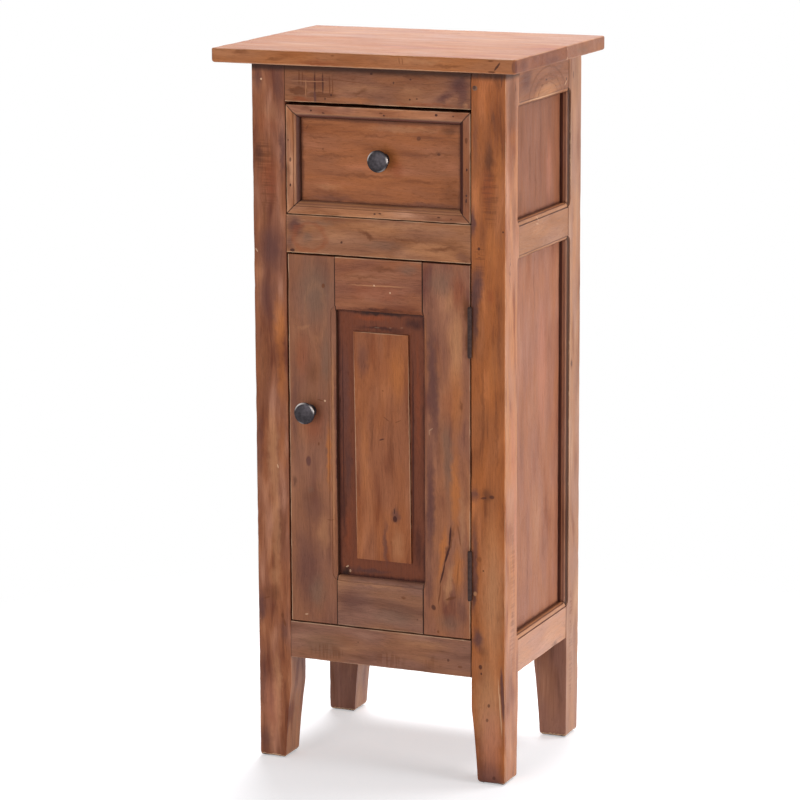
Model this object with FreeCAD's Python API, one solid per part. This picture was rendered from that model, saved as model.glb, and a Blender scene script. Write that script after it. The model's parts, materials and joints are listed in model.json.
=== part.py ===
import FreeCAD, Part

import math
import os

# A narrow telephone table of reclaimed hardwood. Four square posts, joined by rails with blind
# mortise-and-tenon joints, hold a drawer above a cupboard with one framed door.
# Millimetres, +Z up. The front faces -Y and +X is to the right. The origin is on the floor, under
# the middle of the top.

# Frame of posts and rails, from the floor up
post_width = 44.5
body_width = 333.0
body_depth = 258.0
leg_height = 134.0
bottom_rail_height = 47.0
door_opening_height = 467.0
middle_rail_height = 47.0
drawer_opening_height = 138.0
top_rail_height = 49.0
post_corner_radius = 2.5
rail_thickness = 22.0
rail_setback = 0.6

# Tapered feet
foot_taper_height = 98.0
foot_side_taper = 8.7
foot_rear_taper = 5.5
foot_chamfer = 3.0
taper_middle_share = 0.6

# Mortise-and-tenon joints of the frame
tenon_thickness = 8.0
tenon_face_inset = 7.0
tenon_edge_margin = 2.0
mortise_wall = 4.0
joint_gap = 0.1
end_gap = 0.8

# Top, glued from two boards
top_thickness = 18.0
top_side_overhang = 31.0
top_front_overhang = 47.5
top_front_board_depth = 170.0
top_edge_radius = 2.5
top_corner_radius = 5.0

# Moulded edge, routed round each panel opening after the frame is glued
moulded_width = 6.0
moulded_depth = 7.0
moulded_step = 1.4
router_bearing_radius = 4.0
moulded_segments = 5

# Flat side panels and tongued back boards
groove_depth = 7.0
groove_gap = 0.15
side_panel_thickness = 6.0
side_panel_recess = 12.0
back_board_thickness = 8.0
back_board_recess = 8.0
back_board_count = 3
board_tongue_length = 5.0
board_tongue_thickness = 3.0

# Cupboard floor and the strips that carry it
floor_thickness = 12.0
floor_gap = 0.5
cleat_width = 18.0
cleat_height = 18.0

# Drawer runners, kickers and the dust panel between drawer and cupboard
runner_height = 20.0
runner_ledge = 20.0
guide_height = 16.0
fitting_gap = 0.2
dust_panel_thickness = 5.0
dust_panel_groove = 6.0
stop_height = 22.0

# Screws that hold the top, driven up through the kickers
top_screw_radius = 2.0
top_screw_head_radius = 4.0
top_screw_head_height = 3.0
top_screw_bore_radius = 4.6
top_screw_bore_depth = 22.0
top_screw_bite = 12.0
top_screw_shares = (0.14, 0.5, 0.86)
screw_gap = 0.1

# Drawer
drawer_top_gap = 3.6
drawer_bottom_gap = 0.8
drawer_side_gap = 1.0
drawer_front_thickness = 15.0
drawer_moulding_depth = 10.0
drawer_moulding_band = 9.5
drawer_moulding_bevel = 7.0
drawer_moulding_step = 1.3
drawer_board_thickness = 11.0
drawer_lap = 7.0
drawer_run_gap = 0.3
drawer_tip_gap = 4.0
drawer_back_clearance = 12.0
drawer_back_drop = 5.0
drawer_bottom_thickness = 5.0
drawer_bottom_height = 10.0
drawer_groove_depth = 5.0
drawer_knob_rise = 4.0
drawer_knob_offset = 4.0

# Door
door_top_gap = 2.0
door_bottom_gap = 1.5
door_latch_gap = 2.0
door_hinge_gap = 1.5
door_thickness = 21.0
door_stile_width = 62.3
door_top_rail_height = 66.0
door_bottom_rail_height = 63.0
door_tenon_length = 34.0
door_tenon_thickness = 7.0
door_panel_recess = 9.5
door_panel_edge = 5.0
door_panel_raise = 3.2
door_field_side_margin = 21.5
door_field_top_margin = 26.0
door_field_bottom_margin = 23.0
door_knob_height = 269.5
door_knob_offset = 2.8

# Round metal knobs
knob_radius = 13.5
knob_rim = 3.6
knob_dome = 2.4
knob_dome_segments = 6
knob_neck_radius = 5.0
knob_neck_length = 13.0
knob_foot_radius = 8.0
knob_foot_height = 2.0
knob_screw_radius = 2.0
knob_screw_bite = 9.0
knob_screw_head_radius = 4.2
knob_screw_head_height = 2.4

# Butt hinges
hinge_length = 60.0
hinge_inset = 81.0
hinge_leaf_width = 17.0
hinge_leaf_thickness = 1.4
hinge_leaf_gap = 0.3
hinge_knuckle_radius = 2.6
hinge_knuckle_count = 5
hinge_knuckle_gap = 0.2
hinge_pin_radius = 1.3
hinge_pin_gap = 0.05
hinge_pin_head_radius = 2.2
hinge_pin_head_height = 1.2
hinge_stand_off = 0.3
hinge_recess_gap = 0.1
hinge_screw_radius = 1.5
hinge_screw_head_radius = 3.0
hinge_screw_length = 14.0
hinge_screw_shares = (0.16, 0.5, 0.84)

# Magnetic catch behind the latch side of the door
catch_height = 44.0
catch_width = 12.0
catch_depth = 13.0
catch_drop = 60.0
catch_plate_thickness = 1.2
catch_plate_width = 16.0
catch_gap = 0.3

# How far a cutting shape runs past the surface that it cuts
overrun = 1.0

# Planes of the frame
x_out = body_width / 2
x_in = x_out - post_width
x_rail_back = x_out - rail_setback - rail_thickness
top_width = body_width + 2 * top_side_overhang
top_depth = body_depth + top_front_overhang
y_top_front = -top_depth / 2
y_back = top_depth / 2
y_front = y_back - body_depth
y_in_front = y_front + post_width
y_in_back = y_back - post_width
y_face = y_front + rail_setback
y_rail_back = y_face + rail_thickness
y_board_front = y_back - back_board_recess - back_board_thickness
y_back_rail = y_back - rail_setback - rail_thickness
z_rail = leg_height
z_door = z_rail + bottom_rail_height
z_middle = z_door + door_opening_height
z_drawer = z_middle + middle_rail_height
z_top_rail = z_drawer + drawer_opening_height
z_under_top = z_top_rail + top_rail_height
z_top = z_under_top + top_thickness

tenon_shoulder = groove_depth + tenon_edge_margin
tenon_length = (
    post_width - rail_setback - tenon_face_inset - tenon_thickness - mortise_wall - end_gap
)

BOTTOM = (z_rail, z_door)
MIDDLE = (z_middle, z_drawer)
TOP = (z_top_rail, z_under_top)
SIDES = {"left": -1, "right": 1}

parts = {}


def block(xs, ys, zs):
    """A rectangular solid between two planes on each axis, named in either order."""
    low = FreeCAD.Vector(min(xs), min(ys), min(zs))
    high = FreeCAD.Vector(max(xs), max(ys), max(zs))
    size = high - low
    return Part.makeBox(size.x, size.y, size.z, low)


def grow(limits, amount):
    """Two limits, in either order, moved apart by an amount at each end."""
    return (min(limits) - amount, max(limits) + amount)


def centred(middle, length):
    return (middle - length / 2, middle + length / 2)


def cylinder(radius, start, direction, length):
    return Part.makeCylinder(radius, length, start, direction)


def cut_all(shape, cutters):
    """The shape less each cutter that reaches it."""
    near = [c for c in cutters if shape.BoundBox.intersect(c.BoundBox)]
    return shape.cut(near).removeSplitter() if near else shape


def fuse_all(shapes):
    return shapes[0].fuse(shapes[1:]).removeSplitter()


def fillet_where(shape, radius, wanted):
    return shape.makeFillet(radius, [e for e in shape.Edges if wanted(e)])


def is_upright(edge):
    box = edge.BoundBox
    return box.ZLength > max(box.XLength, box.YLength)


def prism(points, direction):
    """A solid with a flat outline, drawn out along a vector."""
    return Part.Face(Part.makePolygon(points + points[:1])).extrude(direction)


# Moulded edge


def moulded_sections():
    """Offset from the opening and depth below the face, from the face down to the opening."""
    yield moulded_width, -overrun
    for i in range(moulded_segments + 1):
        turn = math.radians(90 * i / moulded_segments)
        drop = (moulded_depth - moulded_step) * (1 - math.cos(turn))
        yield moulded_width * (1 - math.sin(turn)), moulded_step + drop


def round_outline(us, vs, radius, depth, place):
    """A rectangle with round corners, at a depth below the face that place() stands for."""
    corners = (
        (us[1] - radius, vs[1] - radius, 0),
        (us[0] + radius, vs[1] - radius, 90),
        (us[0] + radius, vs[0] + radius, 180),
        (us[1] - radius, vs[0] + radius, 270),
    )
    arcs = []
    for u, v, start in corners:
        turns = [math.radians(start + step) for step in (0, 45, 90)]
        arcs.append(
            [place(u + radius * math.cos(t), v + radius * math.sin(t), depth) for t in turns]
        )
    edges = []
    for here, following in zip(arcs, arcs[1:] + arcs[:1]):
        edges.append(Part.Arc(*here).toShape())
        edges.append(Part.LineSegment(here[2], following[0]).toShape())
    return Part.Wire(edges)


def moulded_cutter(us, vs, place):
    """What a router takes off round an opening: a step, then a quarter-round down to it."""
    outlines = [
        round_outline(
            grow(us, offset), grow(vs, offset), router_bearing_radius + offset, depth, place
        )
        for offset, depth in moulded_sections()
    ]
    return Part.makeLoft(outlines, True, True)


def side_cutters():
    """Moulded edges of the upper and the lower opening of both sides."""
    cutters = []
    for sign in SIDES.values():
        for zs in ((z_door, z_middle), (z_drawer, z_top_rail)):

            def place(u, v, depth):
                return FreeCAD.Vector(sign * (x_out - depth), u, v)

            cutters.append(moulded_cutter((y_in_front, y_in_back), zs, place))
    return cutters


# Rails


def rail_heights():
    return {"top": TOP, "middle": MIDDLE, "bottom": BOTTOM}


def tenon_zs(zs):
    return (zs[0] + tenon_shoulder, zs[1] - tenon_shoulder)


def cross_rail(face, inward, zs, gap=0):
    """A rail along X, or with a gap the mortises that take its two tenons."""
    near = face + inward * tenon_face_inset
    tenon_ys = (near, near + inward * tenon_thickness)
    reach = x_in + tenon_length
    tenons = block(grow((-reach, reach), gap and end_gap), grow(tenon_ys, gap), grow(tenon_zs(zs), gap))
    if gap:
        return tenons
    body = block((-x_in, x_in), (face, face + inward * rail_thickness), zs)
    return fuse_all([body, tenons])


def side_rail(sign, zs, gap=0):
    """A rail along Y, or with a gap the mortises that take its two tenons."""
    face = x_out - rail_setback
    near = face - tenon_face_inset
    tenon_xs = (sign * near, sign * (near - tenon_thickness))
    ys = (y_in_front - tenon_length, y_in_back + tenon_length)
    tenons = block(grow(tenon_xs, gap), grow(ys, gap and end_gap), grow(tenon_zs(zs), gap))
    if gap:
        return tenons
    body = block((sign * face, sign * x_rail_back), (y_in_front, y_in_back), zs)
    return fuse_all([body, tenons])


# Panels in their grooves


def side_panel(sign, zs, grown=0):
    """A flat panel with its edges in the grooves, or with a growth the groove that it lies in."""
    face = x_out - side_panel_recess
    reach = groove_depth - (0 if grown else end_gap)
    xs = (sign * face, sign * (face - side_panel_thickness))
    return block(grow(xs, grown), grow((y_in_front, y_in_back), reach), grow(zs, reach))


def back_groove():
    ys = (y_back - back_board_recess, y_board_front)
    return block(
        grow((-x_in, x_in), groove_depth),
        grow(ys, groove_gap),
        grow((z_door, z_top_rail), groove_depth),
    )


def back_boards():
    """Upright boards side by side, each but the last with a tongue in the next one's groove."""
    reach = groove_depth - end_gap
    left = -x_in - reach
    width = 2 * (x_in + reach) / back_board_count
    ys = (y_back - back_board_recess, y_board_front)
    zs = grow((z_door, z_top_rail), reach)
    tongue_ys = centred((ys[0] + ys[1]) / 2, board_tongue_thickness)
    boards = []
    for i in range(back_board_count):
        x0 = left + i * width
        board = block((x0, x0 + width - joint_gap), ys, zs)
        if i > 0:
            slot = block(
                (x0 - overrun, x0 + board_tongue_length + end_gap), grow(tongue_ys, joint_gap), zs
            )
            board = board.cut(slot)
        if i < back_board_count - 1:
            x1 = x0 + width - joint_gap
            board = board.fuse(block((x1, x1 + board_tongue_length), tongue_ys, zs))
        boards.append(board.removeSplitter())
    return boards


# Runners, kickers, dust panel and floor

dust_zs = centred(z_drawer - runner_height / 2, dust_panel_thickness)
y_fitting_back = y_board_front - fitting_gap


def side_fitting(sign, zs, y_end):
    """A strip inside one side, notched round the posts, with a ledge into the opening."""
    ledge = block(
        (sign * (x_in - runner_ledge), sign * (x_in - fitting_gap)),
        (y_rail_back + fitting_gap, y_end),
        zs,
    )
    body = block(
        (sign * (x_in - runner_ledge), sign * x_rail_back),
        (y_in_front + fitting_gap, y_in_back - fitting_gap),
        zs,
    )
    return ledge.fuse(body)


def dust_slot():
    """The groove for the dust panel in the middle rail and the runners."""
    reach = x_in - runner_ledge + dust_panel_groove
    return block(
        (-reach, reach), (y_rail_back - dust_panel_groove, y_back), grow(dust_zs, groove_gap)
    )


def runner(sign):
    guide = block(
        (sign * x_in, sign * x_rail_back),
        (y_in_front + fitting_gap, y_in_back - fitting_gap),
        (z_drawer, z_drawer + guide_height),
    )
    strip = side_fitting(sign, (z_drawer - runner_height, z_drawer), y_fitting_back)
    return strip.fuse(guide).cut(dust_slot()).removeSplitter()


def dust_panel():
    reach = x_in - runner_ledge + dust_panel_groove - end_gap
    return block(
        (-reach, reach), (y_rail_back - dust_panel_groove + end_gap, y_fitting_back), dust_zs
    )


def top_screw_places():
    """Where the screws stand, under the ledges of the two kickers."""
    for sign in SIDES.values():
        for share in top_screw_shares:
            y = y_in_front + share * (y_in_back - y_in_front)
            yield FreeCAD.Vector(sign * (x_in - runner_ledge / 2), y, z_top_rail)


def top_screw(place, gap=0):
    """A screw that holds the top, or with a gap its bore through the kicker into the top."""
    up = FreeCAD.Vector(0, 0, 1)
    head_at = place + up * top_screw_bore_depth
    length = z_under_top + top_screw_bite + gap - head_at.z
    shank = cylinder(top_screw_radius + gap, head_at, up, length)
    if gap:
        bore = cylinder(top_screw_bore_radius, place - up * overrun, up, top_screw_bore_depth + overrun)
        return bore.fuse(shank)
    head = cylinder(top_screw_head_radius, head_at - up * top_screw_head_height, up, top_screw_head_height)
    return head.fuse(shank).removeSplitter()


def kicker(sign):
    bores = [top_screw(place, screw_gap) for place in top_screw_places()]
    return cut_all(side_fitting(sign, TOP, y_back_rail - fitting_gap).removeSplitter(), bores)


def cupboard_floor():
    """A board level with the bottom rails' upper edges, notched round the posts."""
    zs = (z_door - floor_thickness, z_door)
    reach = x_rail_back - floor_gap
    board = block((-reach, reach), (y_rail_back + floor_gap, y_back_rail - floor_gap), zs)
    notches = [
        block(
            (sign * (x_in - floor_gap), sign * (x_out + overrun)),
            grow(ys, floor_gap),
            grow(zs, overrun),
        )
        for sign in SIDES.values()
        for ys in ((y_front, y_in_front), (y_in_back, y_back))
    ]
    return board.cut(notches)


def floor_cleat(sign):
    z1 = z_door - floor_thickness
    return block(
        (sign * x_rail_back, sign * (x_rail_back - cleat_width)),
        (y_in_front + fitting_gap, y_in_back - fitting_gap),
        (z1 - cleat_height, z1),
    )


# Top


def top_blank():
    """The whole top, with its corners and its edges eased."""
    blank = block(centred(0, top_width), (y_top_front, y_back), (z_under_top, z_top))
    blank = fillet_where(blank, top_corner_radius, is_upright)
    return fillet_where(blank, top_edge_radius, lambda e: not is_upright(e))


def top_boards():
    joint = y_top_front + top_front_board_depth
    room = grow((z_under_top, z_top), overrun)
    across = grow(centred(0, top_width), overrun)
    bores = [top_screw(place, screw_gap) for place in top_screw_places()]
    blank = cut_all(top_blank(), bores)
    front = blank.common(block(across, (y_top_front - overrun, joint), room))
    rear = blank.common(block(across, (joint, y_back + overrun), room))
    return front, rear


# Hinges

hinge_x = x_in - door_hinge_gap / 2
hinge_y = y_front - hinge_stand_off - hinge_knuckle_radius
door_zs = (z_door + door_bottom_gap, z_middle - door_top_gap)
hinge_middles = {"lower": door_zs[0] + hinge_inset, "upper": door_zs[1] - hinge_inset}
leaf_end_y = y_face + hinge_leaf_width
post_side = 1
door_side = -1


def leaf_xs(side, depth=0):
    """Both faces of a leaf, or with a depth the leaf's near face and a plane behind it."""
    near = hinge_x + side * hinge_leaf_gap / 2
    return (near, near + side * (depth or hinge_leaf_thickness))


def hinge_screw_starts(middle, side):
    """Centres of the screw heads on the face of a leaf that looks into the joint."""
    leaf_y = (y_front + leaf_end_y) / 2
    low = middle - hinge_length / 2
    for share in hinge_screw_shares:
        yield FreeCAD.Vector(leaf_xs(side)[0], leaf_y, low + share * hinge_length)


def hinge_screw(start, side, gap=0):
    """A countersunk screw, or with a gap the hole that takes it."""
    out = FreeCAD.Vector(side, 0, 0)
    head = Part.makeCone(
        hinge_screw_head_radius + gap, hinge_screw_radius + gap, hinge_leaf_thickness, start, out
    )
    shank = cylinder(hinge_screw_radius + gap, start, out, hinge_screw_length + gap)
    return head.fuse(shank).removeSplitter()


def hinge_screws(side, gap=0):
    return [
        hinge_screw(start, side, gap)
        for middle in hinge_middles.values()
        for start in hinge_screw_starts(middle, side)
    ]


def hinge_leaf(middle, side):
    """One leaf with its knuckles. The post's leaf has the end knuckles and every second one."""
    up = FreeCAD.Vector(0, 0, 1)
    low = middle - hinge_length / 2
    pitch = hinge_length / hinge_knuckle_count
    join_y = hinge_y + (hinge_pin_radius + hinge_pin_gap + hinge_knuckle_radius) / 2
    plate = block(leaf_xs(side), (y_front, leaf_end_y), (low, low + hinge_length))
    pieces = [plate]
    first = 0 if side == post_side else 1
    for i in range(first, hinge_knuckle_count, 2):
        z0 = low + i * pitch + hinge_knuckle_gap / 2
        height = pitch - hinge_knuckle_gap
        start = FreeCAD.Vector(hinge_x, hinge_y, z0)
        pieces.append(cylinder(hinge_knuckle_radius, start, up, height))
        pieces.append(block(leaf_xs(side), (join_y, y_front + overrun), (z0, z0 + height)))
    bore_start = FreeCAD.Vector(hinge_x, hinge_y, low - overrun)
    bore = cylinder(hinge_pin_radius + hinge_pin_gap, bore_start, up, hinge_length + 2 * overrun)
    leaf = fuse_all(pieces).cut(bore)
    return cut_all(leaf, hinge_screws(side, screw_gap))


def hinge_pin(middle):
    """A pin with a button head over each end knuckle."""
    up = FreeCAD.Vector(0, 0, 1)
    low = FreeCAD.Vector(hinge_x, hinge_y, middle - hinge_length / 2)
    high = low + up * hinge_length
    pin = cylinder(hinge_pin_radius, low, up, hinge_length)
    heads = [
        cylinder(hinge_pin_head_radius, low - up * hinge_pin_head_height, up, hinge_pin_head_height),
        cylinder(hinge_pin_head_radius, high, up, hinge_pin_head_height),
    ]
    return pin.fuse(heads).removeSplitter()


def hinge_recess(middle, side):
    """The shallow bed of a leaf in the post or in the door's edge."""
    bed = hinge_leaf_thickness + hinge_recess_gap
    return block(
        leaf_xs(side, bed),
        (y_front - overrun, leaf_end_y + hinge_recess_gap),
        grow(centred(middle, hinge_length), hinge_recess_gap),
    )


def hinge_beds(side):
    return [hinge_recess(middle, side) for middle in hinge_middles.values()]


# Posts


def foot_cut(face, taper, away, place, alongs):
    """The curved wedge sawn off a foot's face; away is the direction out of the wood."""
    outside = face + away * overrun
    top_point = place(face, foot_taper_height, alongs[0])
    middle_point = place(face - away * taper * taper_middle_share, foot_taper_height / 2, alongs[0])
    foot_point = place(face - away * taper, 0, alongs[0])
    low_point = place(face - away * taper, -overrun, alongs[0])
    low_outside = place(outside, -overrun, alongs[0])
    high_outside = place(outside, foot_taper_height, alongs[0])
    edges = [
        Part.Arc(top_point, middle_point, foot_point).toShape(),
        Part.LineSegment(foot_point, low_point).toShape(),
        Part.LineSegment(low_point, low_outside).toShape(),
        Part.LineSegment(low_outside, high_outside).toShape(),
        Part.LineSegment(high_outside, top_point).toShape(),
    ]
    return Part.Face(Part.Wire(edges)).extrude(place(0, 0, alongs[1]) - place(0, 0, alongs[0]))


def corner_cutter(sign, y_sign, corner_y):
    """What is taken off a post's outer corner to round it."""
    axis = FreeCAD.Vector(
        sign * (x_out - post_corner_radius), corner_y - y_sign * post_corner_radius, -overrun
    )
    height = z_under_top + 2 * overrun
    corner = block(
        (axis.x, sign * (x_out + overrun)),
        (axis.y, corner_y + y_sign * overrun),
        (-overrun, z_under_top + overrun),
    )
    return corner.cut(cylinder(post_corner_radius, axis, FreeCAD.Vector(0, 0, 1), height))


def post_blank(sign, y_sign):
    """A post with its foot tapered and chamfered, and its outer corner rounded."""
    ys = (y_front, y_in_front) if y_sign < 0 else (y_in_back, y_back)
    blank = block((sign * x_in, sign * x_out), ys, (0, z_under_top))
    inner = foot_cut(
        sign * x_in,
        foot_side_taper,
        -sign,
        lambda across, z, along: FreeCAD.Vector(across, along, z),
        grow(ys, overrun),
    )
    rear = foot_cut(
        ys[1],
        foot_rear_taper,
        1,
        lambda across, z, along: FreeCAD.Vector(along, across, z),
        grow((sign * x_in, sign * x_out), overrun),
    )
    blank = blank.cut([inner, rear]).removeSplitter()
    soles = [e for e in blank.Edges if e.BoundBox.ZMax < joint_gap]
    blank = blank.makeChamfer(foot_chamfer, soles)
    return blank.cut(corner_cutter(sign, y_sign, ys[0] if y_sign < 0 else ys[1]))


def rail_mortises():
    cutters = []
    for zs in rail_heights().values():
        cutters.append(cross_rail(y_face, 1, zs, joint_gap))
        cutters += [side_rail(sign, zs, joint_gap) for sign in SIDES.values()]
    for zs in (BOTTOM, TOP):
        cutters.append(cross_rail(y_back - rail_setback, -1, zs, joint_gap))
    return cutters


def panel_grooves():
    cutters = [back_groove()]
    for sign in SIDES.values():
        for zs in ((z_door, z_middle), (z_drawer, z_top_rail)):
            cutters.append(side_panel(sign, zs, groove_gap))
    return cutters


def make_frame():
    grooves = panel_grooves()
    moulded = side_cutters()
    in_posts = rail_mortises() + grooves + moulded + hinge_beds(post_side)
    in_posts += hinge_screws(post_side, screw_gap)
    for side, sign in SIDES.items():
        parts["post_front_" + side] = cut_all(post_blank(sign, -1), in_posts)
        parts["post_back_" + side] = cut_all(post_blank(sign, 1), in_posts)
        for level, zs in rail_heights().items():
            rail = side_rail(sign, zs)
            parts[side + "_" + level + "_rail"] = cut_all(rail, grooves + moulded)
    for level, zs in rail_heights().items():
        parts["front_" + level + "_rail"] = cross_rail(y_face, 1, zs)
    parts["front_middle_rail"] = cut_all(parts["front_middle_rail"], [dust_slot()])
    for level in ("top", "bottom"):
        rail = cross_rail(y_back - rail_setback, -1, rail_heights()[level])
        parts["back_" + level + "_rail"] = cut_all(rail, grooves)


def make_panels():
    for side, sign in SIDES.items():
        parts[side + "_upper_panel"] = side_panel(sign, (z_drawer, z_top_rail))
        parts[side + "_lower_panel"] = side_panel(sign, (z_door, z_middle))
    for i, board in enumerate(back_boards()):
        parts["back_board_" + str(i + 1)] = board


def make_inside():
    for side, sign in SIDES.items():
        parts["drawer_runner_" + side] = runner(sign)
        parts["kicker_" + side] = kicker(sign)
    parts["dust_panel"] = dust_panel()
    parts["cupboard_floor"] = cupboard_floor()
    parts["floor_cleats"] = Part.Compound([floor_cleat(sign) for sign in SIDES.values()])
    parts["top_screws"] = Part.Compound([top_screw(place) for place in top_screw_places()])


# Knobs, turned about an axis that points out of the front


def turned(outline, x, y, z):
    """A solid of revolution. The outline has radii and distances in front of the plane y."""
    points = [FreeCAD.Vector(x + radius, y - ahead, z) for radius, ahead in outline]
    face = Part.Face(Part.makePolygon(points + points[:1]))
    return face.revolve(FreeCAD.Vector(x, y, z), FreeCAD.Vector(0, 1, 0), 360)


def knob(x, y, z):
    """A foot, a neck and a thin round plate with a slightly domed face."""
    neck_top = knob_foot_height + knob_neck_length
    rim_top = neck_top + knob_rim
    turns = [math.radians(90 * i / knob_dome_segments) for i in range(knob_dome_segments)]
    dome = [
        (knob_radius * math.cos(turn), rim_top + knob_dome * math.sin(turn)) for turn in turns
    ]
    outline = [
        (0, 0),
        (knob_foot_radius, 0),
        (knob_foot_radius, knob_foot_height / 2),
        (knob_neck_radius, knob_foot_height),
        (knob_neck_radius, neck_top - knob_rim / 2),
        (knob_radius - knob_rim / 2, neck_top),
        (knob_radius, neck_top + knob_rim / 2),
        *dome,
        (0, rim_top + knob_dome),
    ]
    shape = turned(outline, x, y, z)
    thread = cylinder(
        knob_screw_radius + screw_gap,
        FreeCAD.Vector(x, y + overrun, z),
        FreeCAD.Vector(0, -1, 0),
        knob_screw_bite + screw_gap + overrun,
    )
    return shape.cut(thread)


def knob_screw(x, y, z, wood, gap=0):
    """A screw from behind a board of a given thickness, or with a gap the hole through it."""
    back = FreeCAD.Vector(x, y + wood, z)
    ahead = FreeCAD.Vector(0, -1, 0)
    length = wood + (overrun if gap else knob_screw_bite)
    shank = cylinder(knob_screw_radius + gap, back, ahead, length)
    if gap:
        return shank
    head = cylinder(
        knob_screw_head_radius, back - ahead * knob_screw_head_height, ahead, knob_screw_head_height
    )
    return head.fuse(shank).removeSplitter()


# Drawer

front_half = x_in - drawer_side_gap
front_zs = (z_drawer + drawer_bottom_gap, z_top_rail - drawer_top_gap)
y_panel = y_face + drawer_moulding_depth
y_front_back = y_panel + drawer_front_thickness
y_side_front = y_front_back - drawer_lap
y_drawer_back = y_fitting_back - drawer_back_clearance
drawer_zs = (z_drawer + drawer_run_gap, z_top_rail - drawer_tip_gap)
side_inner = front_half - drawer_board_thickness
drawer_floor_z = drawer_zs[0] + drawer_bottom_height
drawer_knob_place = (drawer_knob_offset, y_panel, (front_zs[0] + front_zs[1]) / 2 + drawer_knob_rise)


def moulding_section():
    """Inset from the drawer's edge and depth below its face: a band, a step, a quarter-round."""
    section = [(0, 0), (drawer_moulding_band, 0)]
    for i in range(moulded_segments + 1):
        turn = math.radians(90 * i / moulded_segments)
        drop = (drawer_moulding_depth - drawer_moulding_step) * (1 - math.cos(turn))
        section.append(
            (
                drawer_moulding_band + drawer_moulding_bevel * math.sin(turn),
                drawer_moulding_step + drop,
            )
        )
    section.append((0, drawer_moulding_depth))
    return section


def moulding(side):
    """One mitred strip of the frame planted on the drawer's front."""
    half = {"left": front_half, "right": front_half}.get(side, (front_zs[1] - front_zs[0]) / 2)
    length_half = (front_zs[1] - front_zs[0]) / 2 if side in SIDES else front_half
    middle = FreeCAD.Vector(0, y_face, (front_zs[0] + front_zs[1]) / 2)
    out, along = {
        "left": (FreeCAD.Vector(-1, 0, 0), FreeCAD.Vector(0, 0, 1)),
        "right": (FreeCAD.Vector(1, 0, 0), FreeCAD.Vector(0, 0, 1)),
        "top": (FreeCAD.Vector(0, 0, 1), FreeCAD.Vector(1, 0, 0)),
        "bottom": (FreeCAD.Vector(0, 0, -1), FreeCAD.Vector(1, 0, 0)),
    }[side]
    back = FreeCAD.Vector(0, 1, 0)
    start = middle + out * half - along * length_half
    strip = prism(
        [start - out * inset + back * depth for inset, depth in moulding_section()],
        along * (2 * length_half),
    )
    width = drawer_moulding_band + drawer_moulding_bevel
    ahead = middle - back * overrun
    mitre_points = [
        ahead + out * half - along * length_half,
        ahead + out * half + along * length_half,
        ahead + out * (half - width) + along * (length_half - width),
        ahead + out * (half - width) - along * (length_half - width),
    ]
    return strip.common(prism(mitre_points, back * (drawer_moulding_depth + 2 * overrun)))


def drawer_bottom_slot():
    reach = side_inner + drawer_groove_depth
    zs = (drawer_floor_z, drawer_floor_z + drawer_bottom_thickness)
    ys = (y_side_front - drawer_groove_depth, y_drawer_back + overrun)
    return block((-reach, reach), ys, grow(zs, joint_gap))


drawer_back_ys = (
    y_drawer_back - 2 * drawer_board_thickness,
    y_drawer_back - drawer_board_thickness,
)
drawer_back_z = drawer_floor_z + drawer_bottom_thickness + joint_gap


def drawer_back():
    """The back stands on the drawer's bottom, housed in the sides and a little lower."""
    reach = side_inner + drawer_groove_depth - end_gap
    zs = (drawer_back_z, drawer_zs[1] - drawer_back_drop)
    return block((-reach, reach), drawer_back_ys, zs)


def drawer_back_housing():
    reach = side_inner + drawer_groove_depth
    zs = (drawer_back_z - joint_gap, drawer_zs[1] + overrun)
    return block((-reach, reach), grow(drawer_back_ys, joint_gap), zs)


def drawer_side(sign):
    side = block(
        (sign * front_half, sign * side_inner), (y_side_front + joint_gap, y_drawer_back), drawer_zs
    )
    return side.cut([drawer_bottom_slot(), drawer_back_housing()]).removeSplitter()


def drawer_front():
    """The board behind the planted frame, rebated at both ends for the sides."""
    board = block((-front_half, front_half), (y_panel, y_front_back), front_zs)
    laps = [
        block(
            (sign * (side_inner - joint_gap), sign * (front_half + overrun)),
            (y_side_front, y_front_back + overrun),
            grow(front_zs, overrun),
        )
        for sign in SIDES.values()
    ]
    hole = knob_screw(*drawer_knob_place, drawer_front_thickness, screw_gap)
    return board.cut(laps + [drawer_bottom_slot(), hole]).removeSplitter()


def drawer_bottom():
    reach = side_inner + drawer_groove_depth - end_gap
    zs = (drawer_floor_z, drawer_floor_z + drawer_bottom_thickness)
    return block((-reach, reach), (y_side_front - drawer_groove_depth + end_gap, y_drawer_back), zs)


def drawer_stop(sign):
    """A block at the back of a runner, just behind the drawer's side."""
    return block(
        (sign * side_inner, sign * (x_in - fitting_gap)),
        (y_drawer_back + drawer_run_gap, y_fitting_back),
        (z_drawer, z_drawer + stop_height),
    )


def make_drawer():
    parts["drawer_front"] = drawer_front()
    for side in ("top", "bottom", "left", "right"):
        parts["drawer_moulding_" + side] = moulding(side)
    for side, sign in SIDES.items():
        parts["drawer_side_" + side] = drawer_side(sign)
    parts["drawer_back"] = drawer_back()
    parts["drawer_bottom"] = drawer_bottom()
    parts["drawer_stops"] = Part.Compound([drawer_stop(sign) for sign in SIDES.values()])
    parts["drawer_knob"] = knob(*drawer_knob_place)
    parts["drawer_knob_screw"] = knob_screw(*drawer_knob_place, drawer_front_thickness)


# Door

door_xs = (-x_in + door_latch_gap, x_in - door_hinge_gap)
door_ys = (y_face, y_face + door_thickness)
door_inner_xs = (door_xs[0] + door_stile_width, door_xs[1] - door_stile_width)
door_inner_zs = (door_zs[0] + door_bottom_rail_height, door_zs[1] - door_top_rail_height)
door_knob_place = (
    door_xs[0] + door_stile_width / 2 - door_knob_offset,
    y_face,
    door_zs[0] + door_knob_height,
)


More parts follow.
